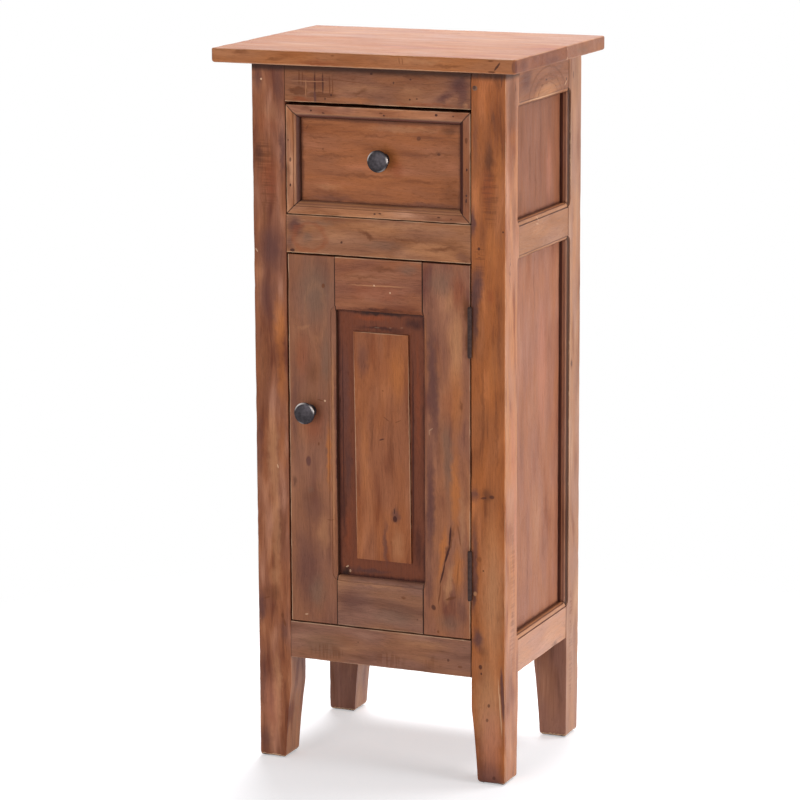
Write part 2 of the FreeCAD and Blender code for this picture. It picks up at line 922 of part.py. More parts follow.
def door_panel_shape(grown=0):
    """The panel's edge in its grooves and the raised field, or with a growth the grooves."""
    reach = groove_depth - (0 if grown else end_gap)
    edge_ys = (y_face + door_panel_recess, y_face + door_panel_recess + door_panel_edge)
    edge = block(grow(door_inner_xs, reach), grow(edge_ys, grown), grow(door_inner_zs, reach))
    if grown:
        return edge
    field = block(
        grow(door_inner_xs, -door_field_side_margin),
        (edge_ys[0] - door_panel_raise, edge_ys[1]),
        (door_inner_zs[0] + door_field_bottom_margin, door_inner_zs[1] - door_field_top_margin),
    )
    return edge.fuse(field).removeSplitter()


def door_rail(zs, gap=0):
    """A rail between the stiles, or with a gap the mortises that take its tenons."""
    tenon_ys = centred(sum(door_ys) / 2, door_tenon_thickness)
    tenons = block(
        grow(door_inner_xs, door_tenon_length + (gap and end_gap)),
        grow(tenon_ys, gap),
        grow(tenon_zs(zs), gap),
    )
    if gap:
        return tenons
    return fuse_all([block(door_inner_xs, door_ys, zs), tenons])


def make_door():
    top_zs = (door_inner_zs[1], door_zs[1])
    bottom_zs = (door_zs[0], door_inner_zs[0])
    groove = door_panel_shape(groove_gap)
    moulded = moulded_cutter(
        door_inner_xs, door_inner_zs, lambda u, v, depth: FreeCAD.Vector(u, y_face + depth, v)
    )
    mortises = [door_rail(top_zs, joint_gap), door_rail(bottom_zs, joint_gap)]
    knob_hole = knob_screw(*door_knob_place, door_thickness, screw_gap)
    latch = block((door_xs[0], door_inner_xs[0]), door_ys, door_zs)
    hinge = block((door_inner_xs[1], door_xs[1]), door_ys, door_zs)
    parts["door_latch_stile"] = cut_all(latch, [groove, moulded, knob_hole] + mortises)
    parts["door_hinge_stile"] = cut_all(
        hinge,
        [groove, moulded] + mortises + hinge_beds(door_side) + hinge_screws(door_side, screw_gap),
    )
    parts["door_top_rail"] = cut_all(door_rail(top_zs), [groove, moulded])
    parts["door_bottom_rail"] = cut_all(door_rail(bottom_zs), [groove, moulded])
    parts["door_panel"] = door_panel_shape()
    parts["door_knob"] = knob(*door_knob_place)
    parts["door_knob_screw"] = knob_screw(*door_knob_place, door_thickness)


def make_hinges():
    for level, middle in hinge_middles.items():
        parts[level + "_hinge_post_leaf"] = hinge_leaf(middle, post_side)
        parts[level + "_hinge_door_leaf"] = hinge_leaf(middle, door_side)
    parts["hinge_pins"] = Part.Compound([hinge_pin(middle) for middle in hinge_middles.values()])
    parts["hinge_post_screws"] = Part.Compound(hinge_screws(post_side))
    parts["hinge_door_screws"] = Part.Compound(hinge_screws(door_side))


def make_catch():
    zs = centred(door_zs[1] - catch_drop, catch_height)
    plate_ys = (door_ys[1], door_ys[1] + catch_plate_thickness)
    body_y = plate_ys[1] + catch_gap
    parts["catch_plate"] = block(
        (door_xs[0] + catch_gap, door_xs[0] + catch_plate_width), plate_ys, zs
    )
    parts["catch_body"] = block((-x_in, -x_in + catch_width), (body_y, body_y + catch_depth), zs)


def main():
    make_frame()
    make_panels()
    make_inside()
    parts["top_front_board"], parts["top_rear_board"] = top_boards()
    make_drawer()
    make_door()
    make_hinges()
    make_catch()
    os.makedirs("parts", exist_ok=True)
    for name, shape in parts.items():
        shape.exportStep("parts/" + name + ".step")


main()
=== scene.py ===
"""Looks of the telephone table: reclaimed wood, dark metal knobs and hinges, a white studio."""

import json
import math
from collections import namedtuple
from functools import partial, reduce

import bmesh
import bpy
from mathutils import Matrix, Vector
from mathutils.noise import noise as noise_at

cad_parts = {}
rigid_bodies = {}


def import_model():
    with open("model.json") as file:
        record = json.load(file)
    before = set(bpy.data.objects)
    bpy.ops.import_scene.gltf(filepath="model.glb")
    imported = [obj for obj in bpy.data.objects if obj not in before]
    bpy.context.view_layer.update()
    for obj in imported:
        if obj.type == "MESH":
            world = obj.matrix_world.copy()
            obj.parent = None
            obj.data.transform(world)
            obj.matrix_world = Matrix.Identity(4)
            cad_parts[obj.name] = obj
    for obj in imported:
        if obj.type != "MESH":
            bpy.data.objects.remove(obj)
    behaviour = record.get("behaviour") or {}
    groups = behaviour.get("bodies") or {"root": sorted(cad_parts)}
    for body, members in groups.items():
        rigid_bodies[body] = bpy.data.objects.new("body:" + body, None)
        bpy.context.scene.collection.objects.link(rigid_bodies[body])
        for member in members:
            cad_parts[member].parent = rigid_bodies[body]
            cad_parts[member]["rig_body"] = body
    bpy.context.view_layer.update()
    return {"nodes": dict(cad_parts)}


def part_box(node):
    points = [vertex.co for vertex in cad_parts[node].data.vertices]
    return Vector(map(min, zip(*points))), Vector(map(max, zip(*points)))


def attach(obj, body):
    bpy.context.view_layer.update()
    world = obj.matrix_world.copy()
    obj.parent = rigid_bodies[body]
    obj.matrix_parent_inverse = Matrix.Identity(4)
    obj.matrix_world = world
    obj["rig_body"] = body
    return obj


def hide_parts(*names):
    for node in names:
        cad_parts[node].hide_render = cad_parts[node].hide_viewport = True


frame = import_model()
nodes = frame["nodes"]

# Camera, in metres but for the picture's pixels and the sensor's millimetres
PICTURE = 800
FOCAL_PIXELS = 3397.6
SENSOR = 36.0
FARTHEST = 50.0
CAMERA_PLACE = Vector((1.63062, -3.82014, 1.31849))
CAMERA_RIGHT = Vector((0.91863984, 0.39506749, -0.00474605))
CAMERA_UP = Vector((-0.07637945, 0.18936323, 0.97893194))
CAMERA_BACK = Vector((0.38764292, -0.89892338, 0.20413164))


def make_camera():
    data = bpy.data.cameras.new("camera")
    data.sensor_width = SENSOR
    data.lens = SENSOR * FOCAL_PIXELS / PICTURE
    data.clip_end = FARTHEST
    made = bpy.data.objects.new("camera", data)
    turn = Matrix((CAMERA_RIGHT, CAMERA_UP, CAMERA_BACK)).transposed()
    made.matrix_world = Matrix.Translation(CAMERA_PLACE) @ turn.to_4x4()
    bpy.context.scene.collection.objects.link(made)
    bpy.context.scene.camera = made


make_camera()

AXES = "xyz"


class Value:
    """A number, vector or colour inside a material's node tree."""

    def __init__(self, socket):
        self.socket = socket

    def __abs__(self):
        return maths("ABSOLUTE", self)

    def __add__(self, other):
        return maths("ADD", self, other)

    def __sub__(self, other):
        return maths("SUBTRACT", self, other)

    def __rsub__(self, other):
        return maths("SUBTRACT", other, self)

    def __mul__(self, other):
        return maths("MULTIPLY", self, other)


def feed(socket, value):
    """Links a Value to a socket, or sets the socket to a number or tuple."""
    if isinstance(value, Value):
        socket.id_data.links.new(value.socket, socket)
    else:
        socket.default_value = value


def add_node(kind, inputs, **options):
    """A new node in the tree of the first Value among its inputs, which go by number or name."""
    tree = next(value for value in inputs.values() if isinstance(value, Value)).socket.id_data
    node = tree.nodes.new("ShaderNode" + kind)
    for option, value in options.items():
        setattr(node, option, value)
    for socket, value in inputs.items():
        feed(node.inputs[socket], value)
    return node


def maths(operation, *inputs):
    return Value(add_node("Math", dict(enumerate(inputs)), operation=operation).outputs[0])


def lowest(values):
    return reduce(partial(maths, "MINIMUM"), values)


def highest(values):
    return reduce(partial(maths, "MAXIMUM"), values)


def spread(value, amount):
    """Noise about its middle, times an amount."""
    return maths("MULTIPLY_ADD", value, amount, -0.5 * amount)


def vector_maths(operation, *inputs, output="Vector"):
    return Value(add_node("VectorMath", dict(enumerate(inputs)), operation=operation).outputs[output])


def length(vector):
    return vector_maths("LENGTH", vector, output="Value")


def separate(vector):
    """The parts of a vector by axis."""
    return dict(zip(AXES, map(Value, add_node("SeparateXYZ", {0: vector}).outputs)))


def on_axes(rest, own):
    """A vector with one number on every axis but those that have their own."""
    return tuple({**dict.fromkeys(AXES, rest), **own}.values())


def noise(vector, detail, roughness=0.5, output="Fac"):
    inputs = {"Vector": vector, "Scale": 1.0, "Detail": detail, "Roughness": roughness}
    return Value(add_node("TexNoise", inputs).outputs[output])


def smooth(value, low, high, bottom=0.0, top=1.0):
    """A smooth step from bottom at low to top at high."""
    inputs = {"Value": value, "From Min": low, "From Max": high, "To Min": bottom, "To Max": top}
    return Value(add_node("MapRange", inputs, interpolation_type="SMOOTHSTEP").outputs["Result"])


def mix(share, first, second, blend="MIX"):
    inputs = {"Factor": share, "A": first, "B": second}
    return Value(add_node("Mix", inputs, data_type="RGBA", blend_type=blend).outputs["Result"])


def ramp(value, stops, interpolation="LINEAR"):
    """A colour ramp's node, from (position, colour)."""
    node = add_node("ValToRGB", {0: value})
    node.color_ramp.interpolation = interpolation
    marks = node.color_ramp.elements
    while len(marks) < len(stops):
        marks.new(0.5)
    for number, (position, colour) in enumerate(stops):
        marks[number].position = position
        marks[number].color = colour
    return node


def bumpy(shader, height, strength, distance):
    bump = add_node("Bump", {"Height": height, "Strength": strength, "Distance": distance})
    feed(shader.inputs["Normal"], Value(bump.outputs[0]))


# A display's curve between shown and linear light
CURVE_START = 0.04045
START_SLOPE = 12.92
CURVE_SHIFT = 0.055
CURVE_POWER = 2.4


def linear(colour):
    """A display colour from 0 to 255 as a shader's linear colour."""
    made = []
    for channel in colour:
        share = channel / 255
        curved = ((share + CURVE_SHIFT) / (1 + CURVE_SHIFT)) ** CURVE_POWER
        made.append(share / START_SLOPE if share <= CURVE_START else curved)
    return (*made, 1.0)


# Studio: a floor that turns pure white away from the table, a white background, four lights
FLOOR_HALF = 6.0
FLOOR_COLOUR = (0.79, 0.79, 0.82, 1.0)
FLOOR_GLOW = 0.39
FLOOR_WHITE_FROM = 0.45
FLOOR_WHITE_TO = 0.95
WORLD_STRENGTH = 0.35
WHITE = (1.0, 1.0, 1.0, 1.0)
# Name, place, target, size and watts
LIGHTS = (
    ("key above", (-0.4, 1.2, 2.6), (0, 0, 0.5), 1.2, 58),
    ("right above", (1.2, 0.8, 2.6), (0, 0, 0.5), 1.0, 22),
    ("right side", (2.6, -0.2, 0.7), (0, 0, 0.45), 1.2, 37),
    ("front fill", (-0.5, -3.2, 0.9), (0, 0, 0.45), 2.0, 36),
)


def background_rays(tree):
    """One for the rays that see the white background, nought for those that light the object."""
    path = tree.nodes.new("ShaderNodeLightPath")
    rays = ("Is Camera Ray", "Is Glossy Ray", "Is Transmission Ray")
    return highest(Value(path.outputs[ray]) for ray in rays)


def make_floor():
    mesh = bpy.data.meshes.new("floor")
    h = FLOOR_HALF
    mesh.from_pydata([(-h, -h, 0), (h, -h, 0), (h, h, 0), (-h, h, 0)], [], [(0, 1, 2, 3)])
    floor = bpy.data.objects.new("floor", mesh)
    bpy.context.scene.collection.objects.link(floor)
    material = bpy.data.materials.new("floor")
    material.use_nodes = True
    tree = material.node_tree
    tree.nodes.clear()
    matt = tree.nodes.new("ShaderNodeBsdfDiffuse")
    matt.inputs["Color"].default_value = FLOOR_COLOUR
    seen = background_rays(tree)
    glow = add_node("Emission", {"Strength": seen * FLOOR_GLOW})
    near = add_node("AddShader", {0: Value(matt.outputs[0]), 1: Value(glow.outputs[0])})
    white = tree.nodes.new("ShaderNodeEmission")
    coords = tree.nodes.new("ShaderNodeTexCoord")
    away = smooth(length(Value(coords.outputs["Object"])), FLOOR_WHITE_FROM, FLOOR_WHITE_TO)
    far = add_node("MixShader", {0: away * seen, 1: Value(near.outputs[0]), 2: Value(white.outputs[0])})
    add_node("OutputMaterial", {"Surface": Value(far.outputs[0])})
    mesh.materials.append(material)


def make_world():
    world = bpy.data.worlds.new("studio")
    world.use_nodes = True
    tree = world.node_tree
    tree.nodes.clear()
    strength = smooth(background_rays(tree), 0.0, 1.0, WORLD_STRENGTH, 1.0)
    background = add_node("Background", {"Color": WHITE, "Strength": strength})
    add_node("OutputWorld", {"Surface": Value(background.outputs[0])})
    bpy.context.scene.world = world


def area_light(name, place, target, size, watts):
    data = bpy.data.lights.new(name, "AREA")
    data.shape = "DISK"
    data.size = size
    data.energy = watts
    made = bpy.data.objects.new(name, data)
    made.location = place
    made.rotation_mode = "QUATERNION"
    made.rotation_quaternion = (Vector(place) - Vector(target)).to_track_quat("Z", "Y")
    made.visible_camera = False
    bpy.context.scene.collection.objects.link(made)


make_floor()
make_world()
for light in LIGHTS:
    area_light(*light)
bpy.context.scene.view_settings.view_transform = "Standard"


# Colours of old wood under the studio light, as shown on a board's front
PLUM = (98, 66, 60)
GREY = (116, 90, 76)
BLACK = (50, 26, 18)
DARK = (66, 42, 34)
UMBER = (104, 64, 46)
RUST = (136, 72, 48)
ORANGE = (172, 106, 62)
TAN = (172, 122, 88)
CREAM = (208, 172, 140)
PINK = (176, 118, 98)
MAHOGANY = (108, 64, 50)
SHADE = (84, 58, 54)
# Light that reaches a face across each axis, and the share of white that its wax reflects
FACE_LIGHT = {"x": (1.12, 0.056), "y": (0.82, 0.017), "z": (1.36, 0.2)}
# Least share of a shown colour that is the wood's own
LEAST_SHARE = 0.33
MILLIMETRES = 1000.0
# How far a face leans towards an axis before it takes that axis's tones, from none to all
FACING = {"x": (0.6, 0.8), "z": (0.8, 0.97)}
# Faces across X nearer to the middle than this are inside the cabinet, above the feet
INSIDE = 151.0
FEET = 134.0
# Width over which one tone or window gives way to the next
BLEND = 1.0
# Noises: size along and across the grain in mm, detail, roughness, and what it adds to the seed
NOISES = {
    "bend": (150, 45, 1.0, 0.5, 0),
    "cloud": (75, 18, 1.5, 0.5, 1),
    "streak": (60, 3.6, 3.0, 0.6, 2),
    "hue": (85, 26, 1.0, 0.5, 3),
    "fibre": (26, 0.9, 2.0, 0.6, 4),
    "pore": (9, 0.55, 1.0, 0.5, 5),
    "rub": (30, 30, 2.0, 0.5, 6),
    "line": (130, 3.2, 1.0, 0.5, 7),
    "saw": (2.4, 34, 1.0, 0.5, 8),
    "torn": (4, 3, 2.0, 0.5, 9),
    "dirt": (30, 12, 3.0, 0.6, 10),
}
# A seed's share and start of each axis's shift
SHIFTS = ((1.0, 0.0), (1.7, 3.1), (0.6, 7.7))
# How far the grain bends, and how far noise of this scale moves soft and firm spots, in mm
BEND = 22.0
WOBBLE_SCALE = 0.11
WOBBLE_DETAIL = 2.0
SOFT_WOBBLE = 9.0
FIRM_WOBBLE = 1.6
# How far each noise changes the tone, from dark at 0 to light at 1
CLOUD_TONE = 2.0
STREAK_TONE = 0.55
# Tints at the two ends of the hue's noise
COOL = (0.95, 0.97, 1.1, 1.0)
WARM = (1.05, 1.0, 0.9, 1.0)
# Steps on noises: from, to, and what the shader takes at either end
HUE_STEP = (0.36, 0.64)
LINE_STEP = (0.0, 0.03, 0.86, 1.0)
PORE_STEP = (0.30, 0.38, 0.88, 1.0)
PORE_DEPTH = (0.30, 0.4)
SAW_STEP = (0.42, 0.6)
ARRIS_PATCH_STEP = (0.38, 0.6, 0.25, 1.0)
SHINE_STEP = (0.3, 0.7, 0.36, 0.5)
# How far streaks and fibres darken or lighten the colour, and raise the surface
STREAK_SHADE = 0.2
FIBRE_SHADE = 0.36
STREAK_HEIGHT = 0.8
FIBRE_HEIGHT = 0.6
WOOD_BUMP = (0.5, 0.0004)
# Pale arrises, partly worn wood and partly painted highlight: where the paleness ends and where it is full,
# in mm, and its strength
EDGE_PALE_REACH = 1.5
EDGE_FULL = 0.35
EDGE_STRENGTH = 0.6
# Strength of seams and of the painted shadow band under the top, and the share of their width that has all of
# it
SEAM_AND_SHADE_STRENGTH = 0.85
SEAM_AND_SHADE_FULL = 0.5
# Unevenness of the dirt and painted shade along an opening, as a share of how far they reach
DIRT_AND_SHADE_SHARE = 1.6
# A foot's torn fibres: their height and unevenness, the strength of the pale part, the painted contact shadow
# at the sole
SPLINTERED = 4.4
TORN = 5.0
TORN_EDGE = 0.6
TORN_STRENGTH = 0.85
SOLE_SHADOW_FROM = 1.6
SOLE_SHADOW_TO = 2.4


def new_material(name):
    """A material, its shader, places in mm and the surface's normal."""
    material = bpy.data.materials.new(name)
    material.use_nodes = True
    tree = material.node_tree
    coords = tree.nodes.new("ShaderNodeTexCoord")
    place = vector_maths("MULTIPLY", Value(coords.outputs["Object"]), (MILLIMETRES,) * 3)
    return material, tree.nodes["Principled BSDF"], place, Value(coords.outputs["Normal"])


def wood_colour(shown, face="y"):
    """The wood's own colour, from the colour that a waxed face across this axis shows."""
    light, veil = FACE_LIGHT[face]
    channels = [max(channel - veil, channel * LEAST_SHARE) / light for channel in linear(shown)[:3]]
    return (*channels, 1.0)


def grain_noise(name, place, grain, seed, output="Fac"):
    """One of the noises, drawn out along the grain."""
    along, across, detail, roughness, number = NOISES[name]
    scales = on_axes(1 / across, {grain: 1 / along})
    shifts = [(seed + number) * share + start for share, start in SHIFTS]
    return noise(vector_maths("MULTIPLY_ADD", place, scales, shifts), detail, roughness, output)


def centred(colour):
    return vector_maths("SUBTRACT", colour, (0.5,) * 3)


def moved(place, share, sizes):
    return vector_maths("ADD", place, vector_maths("MULTIPLY", share, sizes))


def face_tones(tone, tones, levels, normal):
    """Each face's dark, middle and light tones, on the faces that look its way."""
    colour = None
    for face, shown in tones.items():
        if not shown:
            continue
        stops = [(share, wood_colour(three, face)) for share, three in zip((0.0, 0.5, 1.0), shown)]
        own = Value(ramp(tone, stops, "EASE").outputs["Color"])
        turned = smooth(abs(normal[face]), *FACING[face]) if colour else None
        if face == "x":
            outside = smooth(abs(levels["x"]), INSIDE, INSIDE + BLEND)
            turned = turned * maths("MAXIMUM", outside, smooth(levels["z"], FEET + BLEND, FEET))
        colour = mix(turned, colour, own) if colour else own
    return colour


def banded(colour, levels, axis, sign, windows, stops):
    """Stains and painted shade that follow the depth of a moulding, inside windows of the other axes."""
    first, last = stops[0][0], stops[-1][0]
    marks = [
        ((level - first) / (last - first), (*wood_colour(stain)[:3], strength))
        for level, stain, strength in stops
    ]
    node = ramp((levels[axis] * sign - first) * (1 / (last - first)), marks)
    mask = Value(node.outputs["Alpha"])
    for other, low, high in windows:
        level = levels[other]
        mask = mask * smooth(level, low, low + BLEND) * smooth(level, high, high - BLEND)
    return mix(mask, colour, Value(node.outputs["Color"]))


def dirtied_and_shaded(colour, levels, dirt, low, high, extent, strength):
    """Dirt and painted shade along the edges of an opening, on the axes on which its corners differ."""
    gaps = [
        maths("MINIMUM", levels[axis] - start, end - levels[axis])
        for axis, start, end in zip(AXES, low, high)
        if start != end
    ]
    gap = lowest(gaps) + spread(dirt, extent * DIRT_AND_SHADE_SHARE)
    return mix(smooth(gap, extent, 0.0) * strength, colour, wood_colour(DARK))


def splintered(colour, levels, torn):
    """Pale torn fibres just above a painted contact shadow along a foot's sole."""
    height = levels["z"] + spread(torn, TORN)
    pale = smooth(height, SPLINTERED, SPLINTERED - TORN_EDGE) * TORN_STRENGTH
    colour = mix(pale, colour, wood_colour(CREAM))
    sole_shadow = smooth(height, SPLINTERED - SOLE_SHADOW_FROM, SPLINTERED - SOLE_SHADOW_TO)
    return mix(sole_shadow, colour, wood_colour(DARK))


# Half sizes are in mm and the tilt in degrees anticlockwise, seen from outside
Spot = namedtuple(
    "Spot", "kind stain strength across up half_width half_height tilt face plane", defaults=(0, None, None)
)
KINDS = ("soft", "saw", "ring", "arc", "blot", "dot")
soft, saw, ring, arc, blot, dot = (partial(Spot, kind) for kind in KINDS)
SPOT_DEPTH = 9.0
# Share of a spot's size within which it has its full strength
FULL_SHARE = {"soft": 0.15, "saw": 0.5, "blot": 0.55, "dot": 0.8}
RING_HALF = {"ring": 0.3, "arc": 0.06}
# Dots and blots narrower than this are sharp and lie over the grain's lines
SMALL = 4.5
FACE_AXES = {"x": "yz", "y": "xz", "z": "xy"}
# The left side's spots are paler and lower
PALER = 0.9
LOWER = 7


def at(face, plane, spots):
    """Spots on one face of the table."""
    return [spot._replace(face=face, plane=plane) for spot in spots]


def mirrored(spots):
    """The same kinds of spots on the left side, where no two boards are alike."""
    return [
        spot._replace(
            strength=spot.strength * PALER, across=-spot.across, up=spot.up - LOWER, tilt=-spot.tilt,
            plane=-spot.plane,
        )
        for spot in spots
    ]


def is_sharp(spot):
    return spot.kind in ("dot", "blot") and min(spot.half_width, spot.half_height) < SMALL


def spot_mask(place, spot):
    """Where a spot lies: its distance from the spot's centre is one at the rim."""
    across, up = FACE_AXES[spot.face]
    inputs = {
        "Vector": place,
        "Location": on_axes(spot.plane, {across: spot.across, up: spot.up}),
        "Rotation": on_axes(0.0, {spot.face: math.radians(-spot.tilt if spot.face == "y" else spot.tilt)}),
        "Scale": on_axes(SPOT_DEPTH, {across: spot.half_width, up: spot.half_height}),
    }
    distance = length(Value(add_node("Mapping", inputs, vector_type="TEXTURE").outputs[0]))
    if spot.kind in RING_HALF:
        return smooth(abs(distance - 1.0), RING_HALF[spot.kind], 0.0)
    return smooth(distance, 1.0, FULL_SHARE[spot.kind])


def stained(colour, place, spots, teeth=None):
    """Spots over a colour; saw marks show only where the noise of the saw's teeth is high."""
    for spot in spots:
        mask = spot_mask(place, spot)
        if spot.kind == "saw":
            mask = mask * teeth
        colour = mix(mask * spot.strength, colour, wood_colour(spot.stain))
    return colour


def shaded(colour, brightness):
    """A colour times a number."""
    shade = add_node("CombineColor", dict.fromkeys(range(3), brightness))
    return mix(1.0, colour, Value(shade.outputs["Color"]), "MULTIPLY")


def worn_and_highlit_arrises(colour, place, edges, box, patches):
    """Pale arrises of a box, partly worn wood and partly painted highlight, from the pairs of axes that they
    lie across.
    """
    inside = {
        axis: maths("MINIMUM", part - low, high - part)
        for (axis, part), low, high in zip(separate(place).items(), *box)
        if axis in "".join(edges)
    }
    arrises = [highest(abs(inside[axis]) for axis in pair) for pair in edges]
    wear_and_highlight = highest(smooth(distance, EDGE_PALE_REACH, EDGE_FULL) for distance in arrises)
    return mix(wear_and_highlight * patches * EDGE_STRENGTH, colour, wood_colour(CREAM))


def seamed_and_shaded(colour, place, seams):
    """Dark joints between boards, and the painted shadow under the top, from (normal, place along it, half
    width).
    """
    for direction, level, half_width in seams:
        across = abs(vector_maths("DOT_PRODUCT", place, direction, output="Value") - level)
        mask = smooth(across, half_width, half_width * SEAM_AND_SHADE_FULL) * SEAM_AND_SHADE_STRENGTH
        colour = mix(mask, colour, wood_colour(BLACK))
    return colour


def wood(
    name, grain, seed, front, side=None, top=None, spots=(), seams=(), edges=(), box=None, contrast=1.0,
    bands=None, foot=False, grime=None, gloss=0.15,
):
    """Old waxed wood for one board.

    front, side, top: dark, middle and light shown colours. edges, box: pale arrises, partly wear and partly
    painted highlight. bands: see banded.
    grime: low and high corners of an opening, how far its dirt and painted shade reach, and their strength.
    """
    material, shader, place, normal = new_material(name)
    draw = partial(grain_noise, grain=grain, seed=seed)
    bent = moved(place, centred(draw("bend", place, output="Color")), on_axes(BEND, {grain: 0.0}))
    cloud, streak, hue, fibre = (draw(kind, bent) for kind in ("cloud", "streak", "hue", "fibre"))
    lines = smooth(abs(draw("line", bent) - 0.5), *LINE_STEP)
    pore = draw("pore", place)
    levels = separate(place)

    tone = spread(cloud, CLOUD_TONE * contrast) + spread(streak, STREAK_TONE * contrast) + 0.5
    colour = face_tones(tone, {"y": front, "x": side, "z": top}, levels, separate(normal))
    tinted = min(contrast, 1.0) / 2
    tint = mix(smooth(hue, *HUE_STEP, 0.5 - tinted, 0.5 + tinted), COOL, WARM)
    colour = mix(1.0, colour, tint, "MULTIPLY")
    if bands:
        colour = banded(colour, levels, *bands)
    # Dirt and painted shade along the edges of an opening
    if grime:
        colour = dirtied_and_shaded(colour, levels, draw("dirt", place), *grime)
    if foot:
        colour = splintered(colour, levels, draw("torn", place))

    wobble = noise(vector_maths("MULTIPLY", place, (WOBBLE_SCALE,) * 3), WOBBLE_DETAIL, output="Color")
    wobble = centred(wobble)
    soft_place = moved(place, wobble, (SOFT_WOBBLE,) * 3)
    firm_place = moved(place, wobble, (FIRM_WOBBLE,) * 3)
    sawn = any(spot.kind == "saw" for spot in spots)
    teeth = smooth(draw("saw", place), *SAW_STEP) if sawn else None
    colour = stained(colour, soft_place, [spot for spot in spots if not is_sharp(spot)], teeth)
    grainy = spread(streak, STREAK_SHADE) + spread(fibre, FIBRE_SHADE) + 1.0
    colour = shaded(colour, grainy * lines * smooth(pore, *PORE_STEP))
    colour = stained(colour, firm_place, filter(is_sharp, spots))
    # Pale arrises: worn wood and painted highlight
    if edges:
        colour = worn_and_highlit_arrises(colour, place, edges, box, smooth(draw("rub", place), *ARRIS_PATCH_STEP))
    colour = seamed_and_shaded(colour, place, seams)

    feed(shader.inputs["Base Color"], colour)
    feed(shader.inputs["Roughness"], smooth(streak, *SHINE_STEP))
    shader.inputs["Specular IOR Level"].default_value = gloss
    bumpy(shader, fibre * FIBRE_HEIGHT + streak * STREAK_HEIGHT + smooth(pore, *PORE_DEPTH), *WOOD_BUMP)
    return material

# Hand-worn boards: softened arrises and slightly uneven faces, in metres
WELD = 1e-6
FLAT_ANGLE = math.radians(0.5)
SMOOTH_ANGLE = math.radians(38)
ON_PLANE = 5e-5
ARRIS_ANGLE = math.radians(40)
SOFTENED = 0.0008
SLICE_ALONG = 0.009
SLICE_ACROSS = 0.011
SLICE_START_SHARE = 0.13
UNEVEN = 0.00014
# The soles' edges are rounded over the chamfer that they are cut with
FOOT_ROUND = 0.007
FOOT_CHAMFER = 0.003
FOOT_CUTS = (0.0015, 0.0045, 0.0062)
UPRIGHT = 0.3
# The top's corners are rounded: sizes across the sides, and up from its lower and upper faces
TOP_ROUND = 0.0045
TOP_ROUND_LOW = 0.004
TOP_ROUND_HIGH = 0.0012
TOP_CUTS = (0.0009, 0.0022, 0.0045)
# The door's raised field, which stands askew: more to the side the further down from its top
FIELD_LEAN = 0.0109
FIELD_TOP = 0.554
FIELD_BOTTOM = 0.2679
FIELD_LEFT = -0.0368
FIELD_RIGHT = 0.0373
FIELD_ROOT = -0.0945
ARRIS_LOSS = 0.0005
SMALL_ARRIS_LOSS = 0.0003
ARRIS_REACH = 0.0035
# Noise that makes waves on the faces, and dents and chips on the arrises: per metre, from, times
WAVES = 24.0
DENTS = (55.0, 0.08, 2.0)
CHIPS = (130.0, 0.3, 2.0)
SEED_SHIFTS = (0.37, 0.91, 0.13)


def box_planes(point, low, high):
    """How many of the board's outer planes a point lies on."""
    gaps = (min(abs(point[axis] - low[axis]), abs(point[axis] - high[axis])) for axis in range(3))
    return sum(gap < ON_PLANE for gap in gaps)


def is_arris(edge, low, high):
    """Whether an edge is a long outer arris of the board."""
    if len(edge.link_faces) != 2 or not edge.is_convex or edge.calc_face_angle() < ARRIS_ANGLE:
        return False
    first, second = (vert.co for vert in edge.verts)
    middle = (first + second) / 2
    return min(box_planes(point, low, high) for point in (first, second, middle)) >= 2


def cut_across(mesh, axis, level):
    point, direction = Vector((0, 0, 0)), Vector((0, 0, 0))
    point[axis], direction[axis] = level, 1.0
    everything = mesh.verts[:] + mesh.edges[:] + mesh.faces[:]
    bmesh.ops.bisect_plane(mesh, geom=everything, dist=WELD, plane_co=point, plane_no=direction)


def cut_slices(mesh, axis, low, high, step):
    size = high[axis] - low[axis]
    count = max(1, round(size / step))
    for number in range(1, count):
        cut_across(mesh, axis, low[axis] + size * (number + SLICE_START_SHARE) / count)


def foot_inset(vert):
    """How far, and which way, a point near the sole moves inwards."""
    outwards = Vector((vert.normal.x, vert.normal.y, 0.0))
    if vert.co.z > FOOT_ROUND or outwards.length < UPRIGHT:
        return Vector((0, 0, 0))
    rise = FOOT_ROUND - vert.co.z
    depth = FOOT_ROUND - math.sqrt(max(0.0, FOOT_ROUND**2 - rise**2)) - max(0.0, FOOT_CHAMFER - vert.co.z)
    return outwards.normalized() * -max(0.0, depth)


def corner_inset(point, low, high):
    """How far, and which way, a point of the top near its sides moves inwards."""
    sizes_low = Vector((TOP_ROUND, TOP_ROUND, TOP_ROUND_LOW))
    sizes_high = Vector((TOP_ROUND, TOP_ROUND, TOP_ROUND_HIGH))
    away, share = Vector((0, 0, 0)), Vector((0, 0, 0))
    for axis in range(3):
        near_low = point[axis] - low[axis] - sizes_low[axis]
        near_high = point[axis] - high[axis] + sizes_high[axis]
        if near_low < 0:
            away[axis], share[axis] = near_low, near_low / sizes_low[axis]
        elif near_high > 0:
            away[axis], share[axis] = near_high, near_high / sizes_high[axis]
    return away * (min(1.0, 1.0 / max(share.length, WELD)) - 1.0)


def lean(point):
    """How far a point of the door's raised field stands to the side."""
    level = point.y < FIELD_ROOT and FIELD_LEFT < point.x < FIELD_RIGHT
    on_field = level and FIELD_BOTTOM < point.z < FIELD_TOP
    return Vector((FIELD_LEAN * (FIELD_TOP - point.z) if on_field else 0.0, 0.0, 0.0))


def bumps(point, shift, scale, start, times):
    return max(0.0, noise_at(point * scale + shift) - start) * times


def wear_depth(point, low, high, shift, loss):
    """How much wood is gone at a point of the board."""
    gaps = sorted(min(point[axis] - low[axis], high[axis] - point[axis]) for axis in range(3))
    near_arris = math.exp(-((gaps[1] / ARRIS_REACH) ** 2))
    wave = noise_at(point * WAVES + shift)
    worn_away = bumps(point, -shift, *DENTS) + bumps(point, shift * 2.0, *CHIPS)
    return UNEVEN * (0.5 + 0.5 * wave) + loss * near_arris * min(1.0, worn_away)


